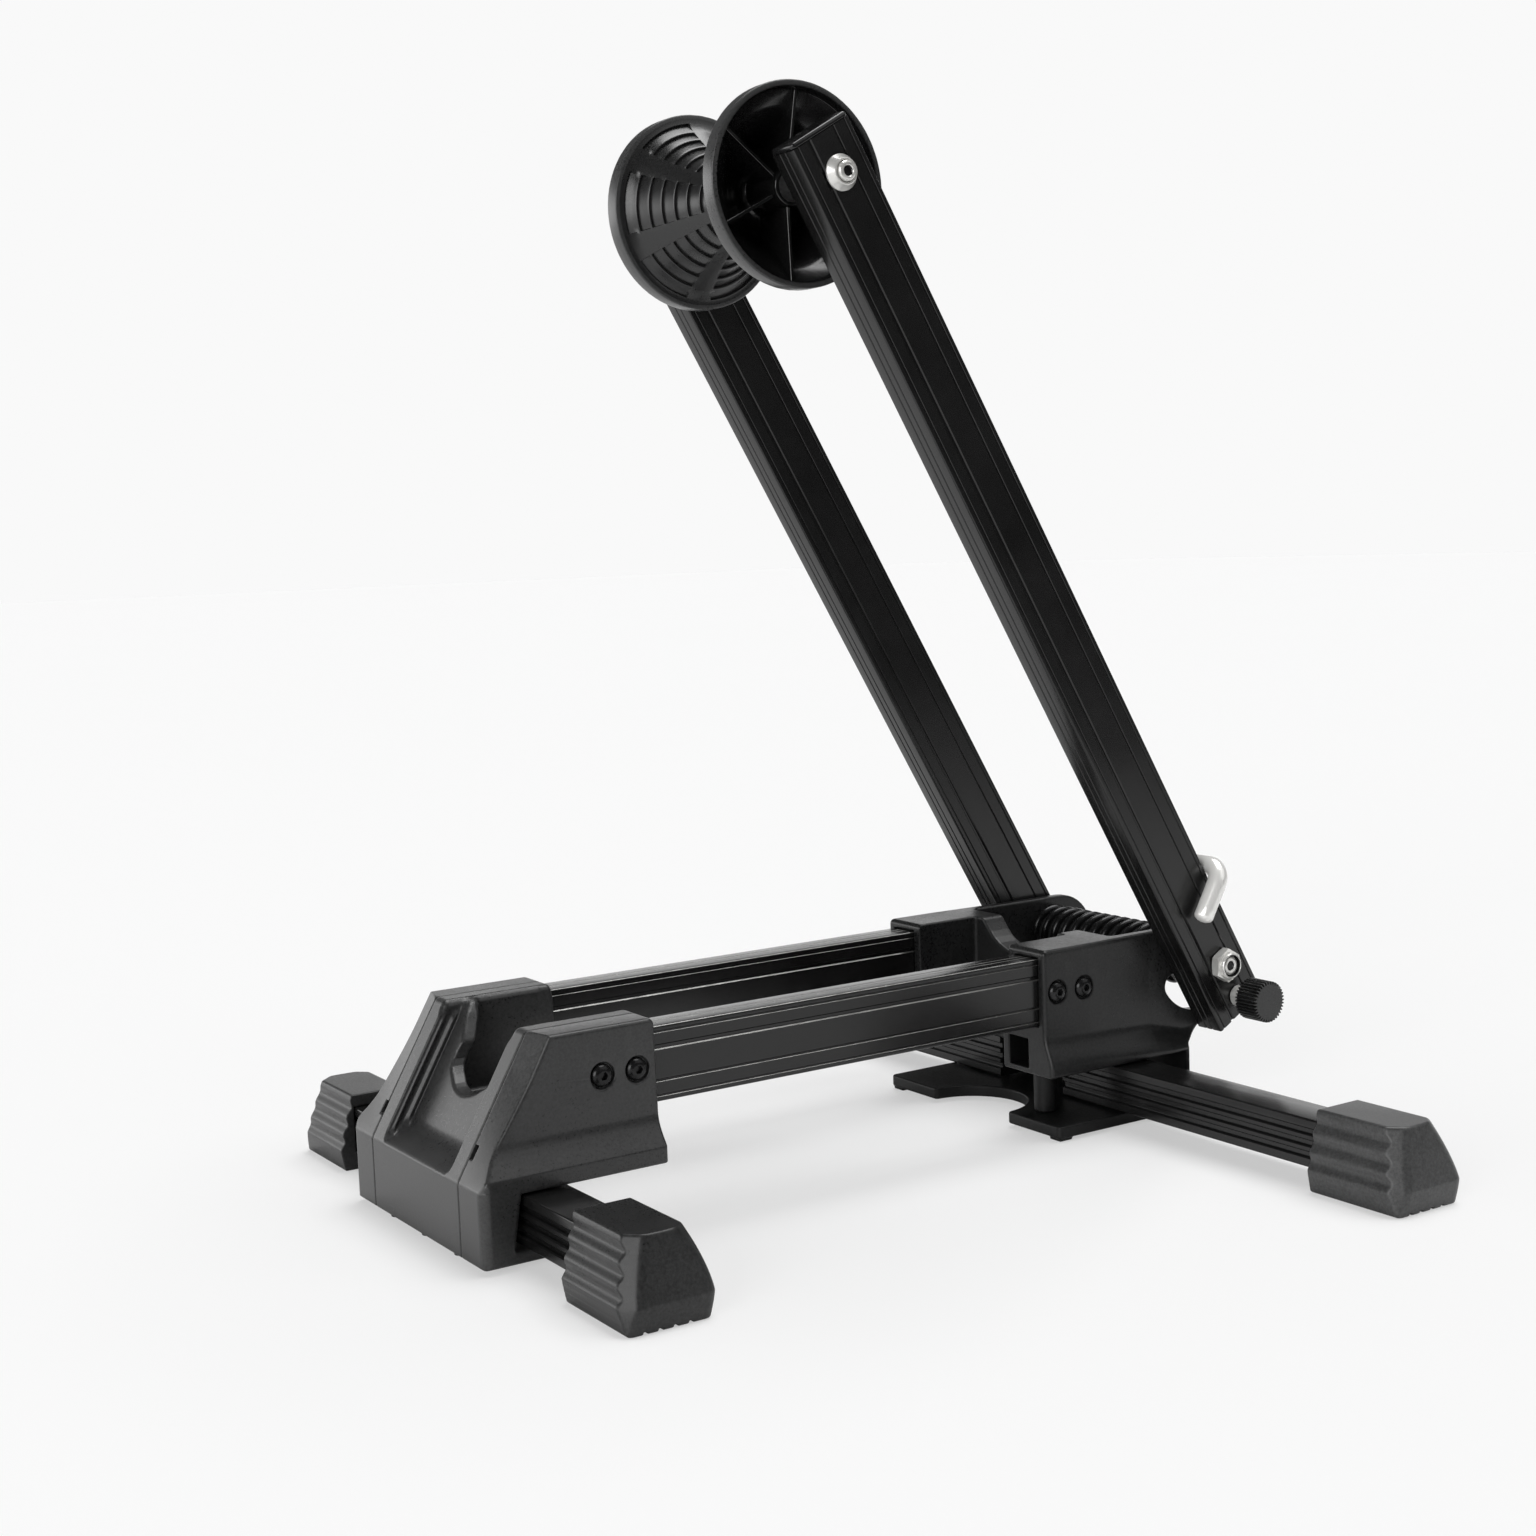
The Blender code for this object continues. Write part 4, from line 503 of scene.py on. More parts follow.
# Materials, from the darkest tone to the lightest, and from the lowest roughness to the highest
LEAN = radians(90 - 120.1)
PLASTIC = moulded("black_plastic", (0.01, 0.0101, 0.0102), (0.046, 0.0463, 0.0465), 0.27, 0.38)
# Painted shade: the rear block's plastic is a darker, duller copy of the front block's
SHADED_REAR_PLASTIC = moulded("rear_plastic_painted_shade", (0.004, 0.0041, 0.0042), (0.024, 0.0242, 0.0244), 0.27, 0.38, sheen=0.3)
# The base plate's darker, duller plastic, also used as painted shade on the rear block's post and sockets
PLATE_AND_SHADE_PLASTIC = moulded("plate_plastic_and_painted_shade", (0.004, 0.0041, 0.0042), (0.01, 0.0101, 0.0102), 0.36, 0.46,
                        scuff=0.2, sheen=0.23)
DRUM_PLASTIC = moulded("roller_plastic", (0.008, 0.0081, 0.0082), (0.014, 0.0141, 0.0142), 0.26, 0.31,
                       0.00001, 0.12, 0.62)
# Glossy black plastic of the caps and the roller's bowls, also used as painted shade on the knob's teeth and the pivot
# nuts' collars
GLOSS_PLASTIC = moulded("glossy_plastic", (0.005, 0.0051, 0.0052), (0.01, 0.0101, 0.0102), 0.13, 0.18, 0.000002, 0.1)
RUBBER = moulded("foot_rubber", (0.01, 0.0101, 0.0102), (0.038, 0.0382, 0.0384), 0.28, 0.38,
                 scuff=0.5, sheen=0.32, slot="rubber")
# Painted light: a paler, shinier copy of the foot rubber, for the rear feet and the knob's rim chamfer
PAINTED_LIGHT_RUBBER = moulded("rubber_painted_light", (0.022, 0.0222, 0.0224), (0.078, 0.0785, 0.079), 0.3, 0.4,
                       scuff=0.5, sheen=0.4, slot="rubber")
# Painted highlight: a paler plastic for the roller's outer rims
RIM_HIGHLIGHT_PLASTIC = moulded("rim_painted_highlight", (0.03, 0.0303, 0.0305), (0.052, 0.0524, 0.0528), 0.26, 0.34, 0.00001, 0.2)
KNOB_PLASTIC = moulded("knob_plastic", (0.012, 0.0121, 0.0122), (0.022, 0.0222, 0.0224), 0.24, 0.32, scuff=0.15)
RAIL_METAL = anodised("rail_metal")
BAR_METAL = anodised("bar_metal", along_axis=1, sheen=0.45)
ARM_METAL = anodised("arm_metal", (0, -LEAN, 0), 2)
# Painted highlight: a pale metal for the lips of extrusions that face chosen directions
HIGHLIGHT_EDGE = plated("painted_highlight_edge", "black_metal", (0.15, 0.15, 0.145), (0.27, 0.27, 0.26), 0.2, 0.28, 0.65)
STEEL = plated("black_steel", "black_steel", (0.012, 0.012, 0.012), (0.03, 0.03, 0.031), 0.18, 0.3, 0.7)
ZINC = plated("bright_zinc", "zinc", (0.66, 0.655, 0.63), (0.86, 0.855, 0.83), 0.2, 0.27, 0.5, 0.000001)
SATIN_ZINC = plated("satin_zinc", "zinc", (0.88, 0.875, 0.85), (0.92, 0.915, 0.89), 0.22, 0.25, 0.35, 0.0000002)


def dress(obj, body, look, node):
    """Give a piece its material and its body, and let it stand for a CAD node."""
    obj.data.materials.clear()
    obj.data.materials.append(look.material)
    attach(obj, body)
    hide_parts(node)


def fit(obj, matrix, angle, body, look, node):
    """Place a piece drawn in millimetres, crease it above an angle in degrees, and dress it."""
    obj.data.transform(Matrix.Scale(MM, 4) @ matrix)
    obj.data.shade_smooth()
    obj.data.set_sharp_from_angle(angle=radians(angle))
    dress(obj, body, look, node)


def second_look(obj, look, chosen):
    """Give the chosen faces of a piece another material."""
    obj.data.materials.append(look.material)
    for face in obj.data.polygons:
        if chosen(face):
            face.material_index = len(obj.data.materials) - 1


def paint_highlights(obj, *directions):
    """Painted highlight: pale metal on the lips and corners of an extrusion that face one of the directions."""
    ways = [Vector(direction).normalized() for direction in directions]
    second_look(obj, HIGHLIGHT_EDGE, lambda face: any(face.normal.dot(way) > 0.95 for way in ways))


def off_axis(face, centre):
    """Distance in millimetres of a face from a line along Y through a centre."""
    return hypot(face.center.x / MM - centre.x, face.center.z / MM - centre.z)


# ---------------- sizes of the source, in millimetres
FIT = 0.3
BLOCK_TOP = 84.2
FRONT_LENGTH = 79.7
FACE_TOP = 31
RAMP_RUN = 31
SEAM_Y = 40.7
SKIRT_BOTTOM = 28.2
FLOOR_TOP = 6.8
RAIL_Y = 44.7
RAIL_Z = 65.4
RAIL_SIZE = (15, 30)
RAIL_FROM = 46.2
RAIL_TO = 306
TOWER_INNER = 31
RECESS = 9
WALL = 6.4
LEDGE_SLOPE = 0.46
CHANNEL_FLOOR = 45
FRONT_SCREWS = (55.9, 71.1)
COUNTERBORE = 5.2
FRONT_BAR_X = 27.5
FRONT_PIN_Y = 48
PIN_HOLE = 3.3
PIN_HOLE_TOP = 41.3

REAR_FACE = 272.5
REAR_LENGTH = 120.5
PIVOT_X = REAR_FACE + 93
PIVOT_Z = 68
REAR_BAR_X = REAR_FACE + 48.5
REAR_PIN_Y = 52
REAR_SCREWS = (REAR_FACE + 7.8, REAR_FACE + 23)
CHEEK_INNER = 48.5
LEG_INNER = 27.6
SLEEVE_INNER = 32.5
KNOB_ORBIT = 18
SLOT_HALF = 5.2
SLOT_TURN = (215, 300)
SIDES = ((-1, "left"), (1, "right"))
MIRROR = Matrix.Scale(-1, 4, (0, 1, 0))

slope_x = RAMP_RUN / (BLOCK_TOP - FACE_TOP)
ramp_cos = 1 / hypot(1, slope_x)


# ---------------- both blocks
def valley(y, z, half):
    """Everything above a saddle, given by its points for y above zero."""
    return polygon(y, z, half + [(-u, v) for u, v in reversed(half[:-1])])


def rail_pocket(y, z):
    """Section of the pocket that a rail sits in."""
    return both(slab(y, 36.9, 52.5), slab(z, 50.1, 80.7))


def screw_holes(grid, body, distances, seat, depth):
    """Counterbores and holes of a side's screws."""
    for middle in distances:
        ring = disc(grid.x, grid.z, (middle, RAIL_Z), COUNTERBORE)
        body = cut(body, meet(ring, seat - grid.y, 0.3), 0.45)
        body = cut(body, both(disc(grid.x, grid.z, (middle, RAIL_Z), 2.8), depth - grid.y), 0.2)
    return body


# ---------------- front block
def flare(t):
    """Hollow curve from a wall into a skirt."""
    t = np.clip(t, 0, 1)
    return t * t * (1.7 - 0.7 * t)


def front_side(z):
    """Half width of the front block's side at a height."""
    return 55.1 - np.clip((z - 46) / (BLOCK_TOP - 46), 0, 1) + 6 * flare((47.5 - z) / 12.5)


def front_edge(z):
    """Distance of the ramp or the face behind the foremost face."""
    return slope_x * np.maximum(z - FACE_TOP, 0)


def front_body(grid):
    """The whole front block, before the seams and its hollows."""
    x, y, z = grid.x, grid.y, grid.z
    profile = polygon(x, z, rounded([
        (0, 2, 1.2), (51, 2, 1.2), (51, FLOOR_TOP, 1), (13, FLOOR_TOP, 1.2), (16.8, SKIRT_BOTTOM, 0),
        (FRONT_LENGTH, SKIRT_BOTTOM, 1), (FRONT_LENGTH, BLOCK_TOP, 2.6), (RAMP_RUN, BLOCK_TOP, 3.2),
        (0, FACE_TOP, 4)]))
    side = (y - front_side(z)) * (1 - 0.28 * ease((47.5 - z) / 6) * ease((z - 35) / 4))
    share = (y - SEAM_Y) / (54.1 - SEAM_Y)
    setback = 3.6 * ease((z - 33) / 40) ** 0.8 * np.maximum(share, 0)
    front = (front_edge(z) + setback - x) * np.where(z > FACE_TOP, ramp_cos, 1)
    corner_radius = 1.1 + 3 * ease((35 - z) / 5)
    body = meet(profile, side, 1.6)
    return np.maximum(body, meet(front, side, corner_radius))


def front_hollows(grid, body):
    """Recess, channel, notch and the rails' pockets."""
    x, y, z = grid.x, grid.y, grid.z
    depth = (x - front_edge(z)) * ramp_cos
    behind = depth - RECESS * ramp_cos
    fade = 1 - ease((z - 76) / 5)
    beads = 0.9 * np.exp(-((depth - 2.2) / 0.75) ** 2) + 1.5 * np.exp(-((depth - 6.2) / 1.1) ** 2)
    ledge = (FACE_TOP + 0.5 + LEDGE_SLOPE * x - z) * 0.9
    recess = meet(meet(y - TOWER_INNER + beads * fade, ledge, 3), behind, 1.6)
    lip = 0.7 + 2.1 * ease((z - 77) / 5)
    body = cut(body, recess, lip)
    inner = (front_edge(z) + RECESS + WALL - x) * ramp_cos
    channel = meet(meet(y - TOWER_INNER, CHANNEL_FLOOR - z, 2), inner, 1)
    body = cut(body, channel, lip)
    notch = valley(y, z, [
        (30.9, 96), (30.9, BLOCK_TOP + 0.2), (28.4, 82.4), (25.6, 79.2), (23, 75.7), (20.4, 72.4), (18.9, 70.2),
        (18.5, 69), (18.8, 67.2), (19.2, 65.2), (19.1, 62.8), (17.9, 60.2), (15.6, 58.4), (13, 57), (10, 55.2),
        (7, 54.1), (3.4, 53.3), (0, 53)])
    body = cut(body, both(notch, x - FRONT_LENGTH * 0.9), 1.2 + 1.6 * ease((z - 77) / 5))
    return cut(body, both(rail_pocket(y, z), 45.6 - x), 0.3)


def front_details(grid, body):
    """Screw recesses, the bars' pin holes and the drain slots beside the seams."""
    x, y, z = grid.x, grid.y, grid.z
    body = screw_holes(grid, body, FRONT_SCREWS, 52.95, 32.5)
    body = cut(body, both(disc(x, y, (FRONT_BAR_X, FRONT_PIN_Y), PIN_HOLE), z - PIN_HOLE_TOP), 0.3)
    return cut(body, both(slab(z, 39.5, 44.5), slab(y, SEAM_Y - 1, SEAM_Y + 3), x - 11.9), 0.3)


step = 0.42 * COARSE
grid = Grid((-1, 0, -1), (FRONT_LENGTH + 1, SEAM_Y + 1, BLOCK_TOP + 1), step, mirrored=True)
field = front_hollows(grid, front_body(grid))
for nub_y in (0, 30):
    field = join(field, meet(disc(grid.x, grid.y, (4.5, nub_y), 2.4), slab(grid.z, 0, 4), 0.5), 0.3)
field = meet(field, grid.y - (SEAM_Y - FIT / 2), 0.65)
cradle = skin("front_cradle_moulding", grid, field)
dress(cradle, "base", PLASTIC, "front_cradle")

grid = Grid((-1, SEAM_Y - 1, -1), (FRONT_LENGTH + 1, 62.5, BLOCK_TOP + 1), step)
field = front_details(grid, front_hollows(grid, front_body(grid)))
field = meet(field, (SEAM_Y + FIT / 2) - grid.y, 0.65)
shell = skin("front_shell_right_moulding", grid, field)
other = add("front_shell_left_moulding", shell.data.copy())
other.data.name = other.name
other.data.transform(MIRROR)
other.data.flip_normals()
dress(shell, "base", PLASTIC, "front_shell_right")
dress(other, "base", PLASTIC, "front_shell_left")


# ---------------- rear block
def rear_block_field(grid):
    """Sleeves, legs, saddle, cheeks and skirt of the rear block."""
    x, y, z = grid.x, grid.y, grid.z
    s = x - REAR_FACE
    wall = graded(s, (0, 26, 44, 63, 130), (56.6, 56.5, 55.6, 54.6, 54.6))
    skirt = graded(s, (0, 30, 74, 84, 110), (60.9, 61.2, 61, 60.2, 57))
    top = graded(s, (0, 30, 63, 82.7, 130), (47, 45.5, 43, 38, 38))
    low = graded(s, (0, 30, 63, 82.7, 130), (31.5, 31, 30, 28.8, 28.8))
    side = (y - wall - (skirt - wall) * ease((top - z) / (top - low))) * 0.9
    profile = polygon(s, z, rounded([
        (0, SKIRT_BOTTOM, 0.8), (80.7, SKIRT_BOTTOM, 0), (80.7, FLOOR_TOP + FIT, 0), (82.7, FLOOR_TOP + FIT, 0.6),
        (82.7, SKIRT_BOTTOM + 2.5, 2), (118.5, PIVOT_Z - 15.5, 6), (REAR_LENGTH, PIVOT_Z - 8, 4),
        (REAR_LENGTH, BLOCK_TOP, 20), (0, BLOCK_TOP, 2.2)], 10))
    body = meet(profile, side, 1.8)
    body = cut(body, meet(meet(y - SLEEVE_INNER, 47.5 - z, 1.2), s - 33.5, 2), 0.9)
    body = cut(body, both(meet(y - LEG_INNER, s - 33.5, 2), z - 48.6, FLOOR_TOP - z - 10), 0.9)
    saddle = valley(y, z, [
        (27, 96), (27, BLOCK_TOP + 0.3), (24.8, 81.6), (22, 78.4), (19, 75.7), (15.5, 73.6), (12, 72.2),
        (8.5, 71), (5, 70.3), (0, 70)])
    body = cut(body, both(saddle, slab(s, 20, 55)), 1.2)
    body = cut(body, meet(meet(y - CHEEK_INNER, 34 - z, 1.5), 45.5 - s, 2.5), 1)
    body = cut(body, both(rail_pocket(y, z), s - 33.8), 0.5)
    body = cut(body, both(slab(y, 31.8, 44.8), slab(z, 30.7, 43.7), s - 20), 0.4)
    body = screw_holes(grid, body, REAR_SCREWS, 55.4 - FIT, 34.5)
    body = cut(body, both(disc(x, y, (REAR_BAR_X, REAR_PIN_Y), PIN_HOLE), z - PIN_HOLE_TOP, y - 54), 0.2)
    body = cut(body, disc(x, z, (PIVOT_X, PIVOT_Z), 4.3), 0.4)
    turn = np.degrees(np.arctan2(z - PIVOT_Z, x - PIVOT_X)) % 360
    ring = np.abs(disc(x, z, (PIVOT_X, PIVOT_Z), KNOB_ORBIT)) - SLOT_HALF
    ends = arc((PIVOT_X, PIVOT_Z), KNOB_ORBIT, *SLOT_TURN, 1)
    caps = np.minimum(disc(x, z, ends[0], SLOT_HALF), disc(x, z, ends[1], SLOT_HALF))
    curved = np.where((turn > SLOT_TURN[0]) & (turn < SLOT_TURN[1]), ring, caps)
    return cut(body, curved, 0.5)


step = 0.5 * COARSE
grid = Grid((REAR_FACE - 1, 0, FLOOR_TOP - 1), (REAR_FACE + REAR_LENGTH + 1, 61.5, BLOCK_TOP + 1), step, mirrored=True)
field = grid.whole(rear_block_field(grid))
post = meet(disc(grid.x, grid.y, (REAR_FACE + 16.5, -36), 5), slab(grid.z, FLOOR_TOP + FIT, SKIRT_BOTTOM + 2), 0.5)
field = join(field, post, 0.8)
rear = skin("rear_block_moulding", grid, field)
# The rear block is dressed in the darker copy of the plastic as painted shade
dress(rear, "base", SHADED_REAR_PLASTIC, "rear_block")


def in_painted_shade(face):
    """Whether a face of the rear block belongs to the post or lies inside a square socket: the faces that take painted
    shade.
    """
    across_y, up = abs(face.center.y) / MM, face.center.z / MM
    along = face.center.x / MM - FRONT_X - REAR_FACE
    return up < SKIRT_BOTTOM - 1.2 or 0.8 < along < 20.5 and 31.4 < across_y < 45.2 and 30.3 < up < 44.1


# Painted shade: the post under the block and the insides of the square sockets take the darker, duller plate plastic
second_look(rear, PLATE_AND_SHADE_PLASTIC, in_painted_shade)

# Base plate
step = 0.45 * COARSE
plate_front = REAR_FACE + 2.5
plate_rear = REAR_FACE + 82.7
grid = Grid((plate_front - 1, 0, -1), (plate_rear + 1, 63, FLOOR_TOP + 1), step, mirrored=True)
outline = slab(grid.x, plate_front, plate_rear)
outline = meet(outline, grid.y - 62, 2.5)
outline = cut(outline, disc(grid.x, grid.y, (plate_front, 0), 26), 2)
field = meet(outline, slab(grid.z, 1.5, FLOOR_TOP), 0.8)
for stub_x in (plate_front + 4.5, plate_rear - 4.5):
    stub = both(slab(grid.x, stub_x - 3.5, stub_x + 3.5), slab(grid.y, 54, 61))
    field = join(field, meet(stub, slab(grid.z, 0, 4), 0.5), 0.3)
field = cut(field, disc(grid.x, grid.y, (REAR_BAR_X, REAR_PIN_Y), PIN_HOLE), 0.3)
plate = skin("base_plate_moulding", grid, field)
dress(plate, "base", PLATE_AND_SHADE_PLASTIC, "base_plate")


# ---------------- extrusions
def groove(start, end, share, width, depth, lip):
    """Points of one groove with softened lips, in a side that runs from start to end."""
    run = (end - start).normalized()
    inward = Vector((-run.y, run.x))
    middle = start + (end - start) * share
    half = width / 2
    drops = [(-half - lip, 0), (-half, lip), (-half + 0.1, depth), (half - 0.1, depth), (half, lip), (half + lip, 0)]
    return [tuple(middle + run * along + inward * down) for along, down in drops]


def section(width, height, corner, wide, narrow):
    """Outline of a grooved rectangular extrusion, counterclockwise from the low end of its +X side."""
    u, v = width / 2, height / 2
    ends = [Vector(end) for end in ((u, -v), (u, v), (-u, v), (-u, -v), (u, -v))]
    mirrored = [(1 - share, *sizes) for share, *sizes in wide]
    points = []
    for k, grooves in enumerate((mirrored, narrow, wide, narrow)):
        start = ends[k]
        centre = [value - copysign(corner, value) for value in start]
        points += arc(centre, corner, 90 * k - 90, 90 * k, 6)
        for item in sorted(grooves):
            points += groove(start, ends[k + 1], *item)
    return points


WIDE = [(0.08, 0.5, 0.45, 0.25), (0.28, 1.3, 0.9, 0.5), (0.72, 0.5, 0.6, 0.35), (0.92, 0.5, 0.45, 0.25)]
NARROW = [(0.38, 0.5, 0.45, 0.25), (0.62, 0.5, 0.45, 0.25)]
tube = section(*RAIL_SIZE, 0.8, WIDE, NARROW)
bore = [(-5.5, -13), (-5.5, 13), (5.5, 13), (5.5, -13)]
TO_YZ = Matrix(((0, 0, 1, 0), (1, 0, 0, 0), (0, 1, 0, 0), (0, 0, 0, 1)))
ALONG_Y = Matrix.Rotation(pi / 2, 4, "X")
for side, label in SIDES:
    rail = extruded(f"rail_{label}_extrusion", [tube, bore], RAIL_FROM, RAIL_TO)
    rail.data.transform(at((FRONT_X, side * RAIL_Y, RAIL_Z)) @ TO_YZ)
    for middle in FRONT_SCREWS + REAR_SCREWS:
        drill(rail, ALONG_Y, (FRONT_X + middle, side * RAIL_Y, RAIL_Z), 2.8, 20)
    fit(rail, Matrix(), 30, "base", RAIL_METAL, "rail_" + label)
    # Painted highlight on the rail lips that face up and out
    paint_highlights(rail, (0, -1, 1), (0, 1, 1))

# Arms, drawn upright on the pivot and leaned
ARM_Y = 62.7
ARM_OFFSET = 1.3
ARM_LOW = -26.4
ARM_TOP = 410
CAP_PLATE = 2.2
AXLE_UP = 390.8
# Inset and depth of the cap's rings: the plug inside the arm, then the plate with its rounded edge
CAP_LEVELS = ((2.4, CAP_PLATE + 8), (2.1, CAP_PLATE + 7.4), (2.1, CAP_PLATE), (0.25, CAP_PLATE), (0, CAP_PLATE - 0.3),
              (0, 1.2), (0.12, 0.7), (0.4, 0.3), (0.85, 0.07), (1.4, 0))
pivot = Vector((FRONT_X + PIVOT_X, 0, PIVOT_Z))
lean = at(pivot) @ Matrix.Rotation(LEAN, 4, "Y")
knob_turn = radians(SLOT_TURN[1])
knob_at = pivot + Vector((cos(knob_turn), 0, sin(knob_turn))) * KNOB_ORBIT
knob_local = lean.inverted() @ knob_at
arm_bore = [(-5.7, -13.2), (-5.7, 13.2), (5.7, 13.2), (5.7, -13.2)]
for side, label in SIDES:
    loops = [[(-ARM_OFFSET - v, side * ARM_Y + u) for u, v in loop] for loop in (tube, arm_bore)]
    arm = extruded(f"arm_{label}_extrusion", loops, ARM_LOW, ARM_TOP - CAP_PLATE - FIT)
    holes = [(0, 0, 4.3), (-ARM_OFFSET, AXLE_UP, 4.3)]
    if side < 0:
        holes.append((knob_local.x, knob_local.z, 4.3))
    for u, w, radius in holes:
        drill(arm, ALONG_Y, (u, side * ARM_Y, w), radius, 22)
    fit(arm, lean, 30, "arms", ARM_METAL, "arm_" + label)
    # Painted highlight on the arm lips that face forward and out
    paint_highlights(arm, (-0.63, -0.707, 0.32), (-0.63, 0.707, 0.32))

    sections = []
    for inset, down in CAP_LEVELS:
        u, v, corner = 15 - inset, 7.5 - inset, max(1.7 - inset, 0.5)
        plan = rounded([(-u, -v, corner), (u, -v, corner), (u, v, corner), (-u, v, corner)], 6)
        sections.append([(a - ARM_OFFSET, b + side * ARM_Y, ARM_TOP - down) for a, b in plan])
    fit(rings(f"arm_cap_{label}_moulding", sections), lean, 40, "arms", GLOSS_PLASTIC, "arm_cap_" + label)

# Cross bars
BAR = 20
BAR_Z = 17.5
bar_grooves = [(0.5 + k * 0.24, 2.3, 1.4, 0.5) for k in (-1, 0, 1)]
bar_section = section(BAR, BAR, 0.8, bar_grooves, [])
bar_bore = [(-6.25, -6.25), (-6.25, 6.25), (6.25, 6.25), (6.25, -6.25)]
BARS = (("front", FRONT_BAR_X, FRONT_PIN_Y, 92, 10), ("rear", REAR_BAR_X, REAR_PIN_Y, 163.5, 29.5))
for end, x, pin_y, reach, tail in BARS:
    for side, label in SIDES:
        low, high = sorted((side * (pin_y - tail), side * (pin_y + reach)))
        bar = extruded(f"{end}_bar_{label}_extrusion", [bar_section, bar_bore], -high, -low)
        bar.data.transform(at((FRONT_X + x, 0, BAR_Z)) @ ALONG_Y)
        drill(bar, Matrix(), (FRONT_X + x, side * pin_y, BAR_Z), 3.3, 30)
        if end == "front":
            ring = arc((0, 0), BAR / 2, 180, 0, 16) + [(22, 0), (22, 22), (-22, 22), (-22, 0)]
            trim = extruded("trim", [ring], -1, 40)
            turn = MIRROR if side > 0 else Matrix()
            trim.data.transform(at((FRONT_X + x, side * pin_y, 0)) @ turn)
            if side > 0:
                trim.data.flip_normals()
            carve(bar, trim)
        fit(bar, Matrix(), 30, f"{end}_leg_{label}", BAR_METAL, f"{end}_bar_{label}")


# ---------------- rubber feet
FOOT_LENGTH = 46.5
FOOT_HEIGHT = 33.1
SOLE = 9.6
SOLE_HALF = 17.4
RIB_PITCH = 7.4
RIB_DEPTH = 1.4


def foot_field(grid, outer_y):
    """One foot with its outer end towards +Y. Its scallops run out into the cut corner on the -X side."""
    x, y, z = grid.x, grid.y, grid.z
    taper = np.clip((z - SOLE) / (FOOT_HEIGHT - SOLE), 0, 1)
    under = np.clip((SOLE - z) / SOLE, 0, 1) ** 1.2
    scallop = RIB_DEPTH * (0.5 - 0.5 * np.cos(2 * pi * (z - SOLE + 0.6) / RIB_PITCH))
    scallop = np.where((z > SOLE - 0.6) & (z < SOLE - 0.6 + 3 * RIB_PITCH), scallop, 0)
    near_half = SOLE_HALF - 6.1 * taper ** 1.2 - 1.8 * under
    far_half = SOLE_HALF + 2.4 - 7.9 * taper ** 1.6 - 2.4 * under
    plain_end = ease((outer_y - 9 - y) / 4)
    front = (-x - near_half + scallop) * 0.93
    back = (x - far_half + scallop * plain_end) * 0.93
    outer = (y - outer_y + 0.3 + 5.6 * taper + 1.2 * under + 0.006 * x * x * taper) * 0.97
    low = np.clip(z / SOLE, 0, 1)
    near_corner = (-x - near_half + y - outer_y + 1.2 + 5.2 * low + 5.6 * taper + 1.2 * under) * 0.68
    far_corner = (x - far_half + y - outer_y + 1.2 + 1.4 * low + 2.6 * taper + 5.6 * taper + 1.2 * under) * 0.68
    body = front
    for face, radius in ((back, 0.6), (near_corner, 0.5), (far_corner, 1), (outer, 1.4),
                         (outer_y - FOOT_LENGTH - y, 0), (slab(z, 0, FOOT_HEIGHT), 0.9)):
        body = meet(body, face, radius)
    body = cut(body, both(slab(x, -10.3, 10.3), slab(z, 7.2, 27.8), y - (outer_y - 8.7)), 0.5)
    for middle in (-9, -3, 3, 9):
        body = cut(body, both(slab(x, middle - 0.9, middle + 0.9), z - 1.1, outer_y - 8 - y), 0.2)
    return body


step = 0.42 * COARSE
for end, x, pin_y, reach, tail in BARS:
    outer_y = pin_y + reach + 9
    grid = Grid((-19, outer_y - FOOT_LENGTH - 1, -1), (21, outer_y + 1, FOOT_HEIGHT + 1), step)
    field = foot_field(grid, outer_y)
    for side, label in SIDES:
        foot = skin(f"{end}_foot_{label}_rubber", grid, field)
        foot.data.transform(at((x * MM, 0, 0)))
        if side < 0:
            foot.data.transform(MIRROR)
            foot.data.flip_normals()
        # The rear feet take the paler copy of the rubber as painted light
        dress(foot, f"{end}_leg_{label}", RUBBER if end == "front" else PAINTED_LIGHT_RUBBER, f"{end}_foot_{label}")


# ---------------- roller
def drum(share):
    """Outer radius of the drum at a share of the way from its waist to the web's edge."""
    return 13.5 + 20.5 * (0.62 * share ** 1.9 + 0.38 * share)


RIB_TURN = 30
WEB_Y = 32.55
PAD_STEPS = 7
PAD_DEPTH = 1.15
PAD_TOOTH = ((0, 0.97), (0.015, 0.25), (0.03, 0.08), (0.06, 0), (0.12, 0), (0.22, 0.06), (0.55, 0.42), (0.93, 0.86),
             (0.985, 0.95))
PAD_TURN = 20.6
ROLLER_TURN = 3.5
END = 41.95
RIM = 40.7

# The cone from the waist out to the rim's inner edge, and how far along it a camera in front sees each point
cone = [(drum(k / 60), WEB_Y * k / 60) for k in range(61)] + [(35, 33.25), (36.1, 33.75), (37.1, 34.2)]
cone_radius, cone_y = (np.array(column) for column in zip(*cone))
cone_run = 12.1 * (cone_radius - 13.5) + 7.75 * cone_y


def on_cone(run, depth=0):
    """Point (radius, y) of the cone at a run, sunk by a depth."""
    radius, y = (np.interp((run, run + 4, run - 4), cone_run, column) for column in (cone_radius, cone_y))
    along_radius, along_y = radius[1] - radius[2], y[1] - y[2]
    size = hypot(along_radius, along_y)
    return float(radius[0] - depth * along_y / size), float(y[0] + depth * along_radius / size)


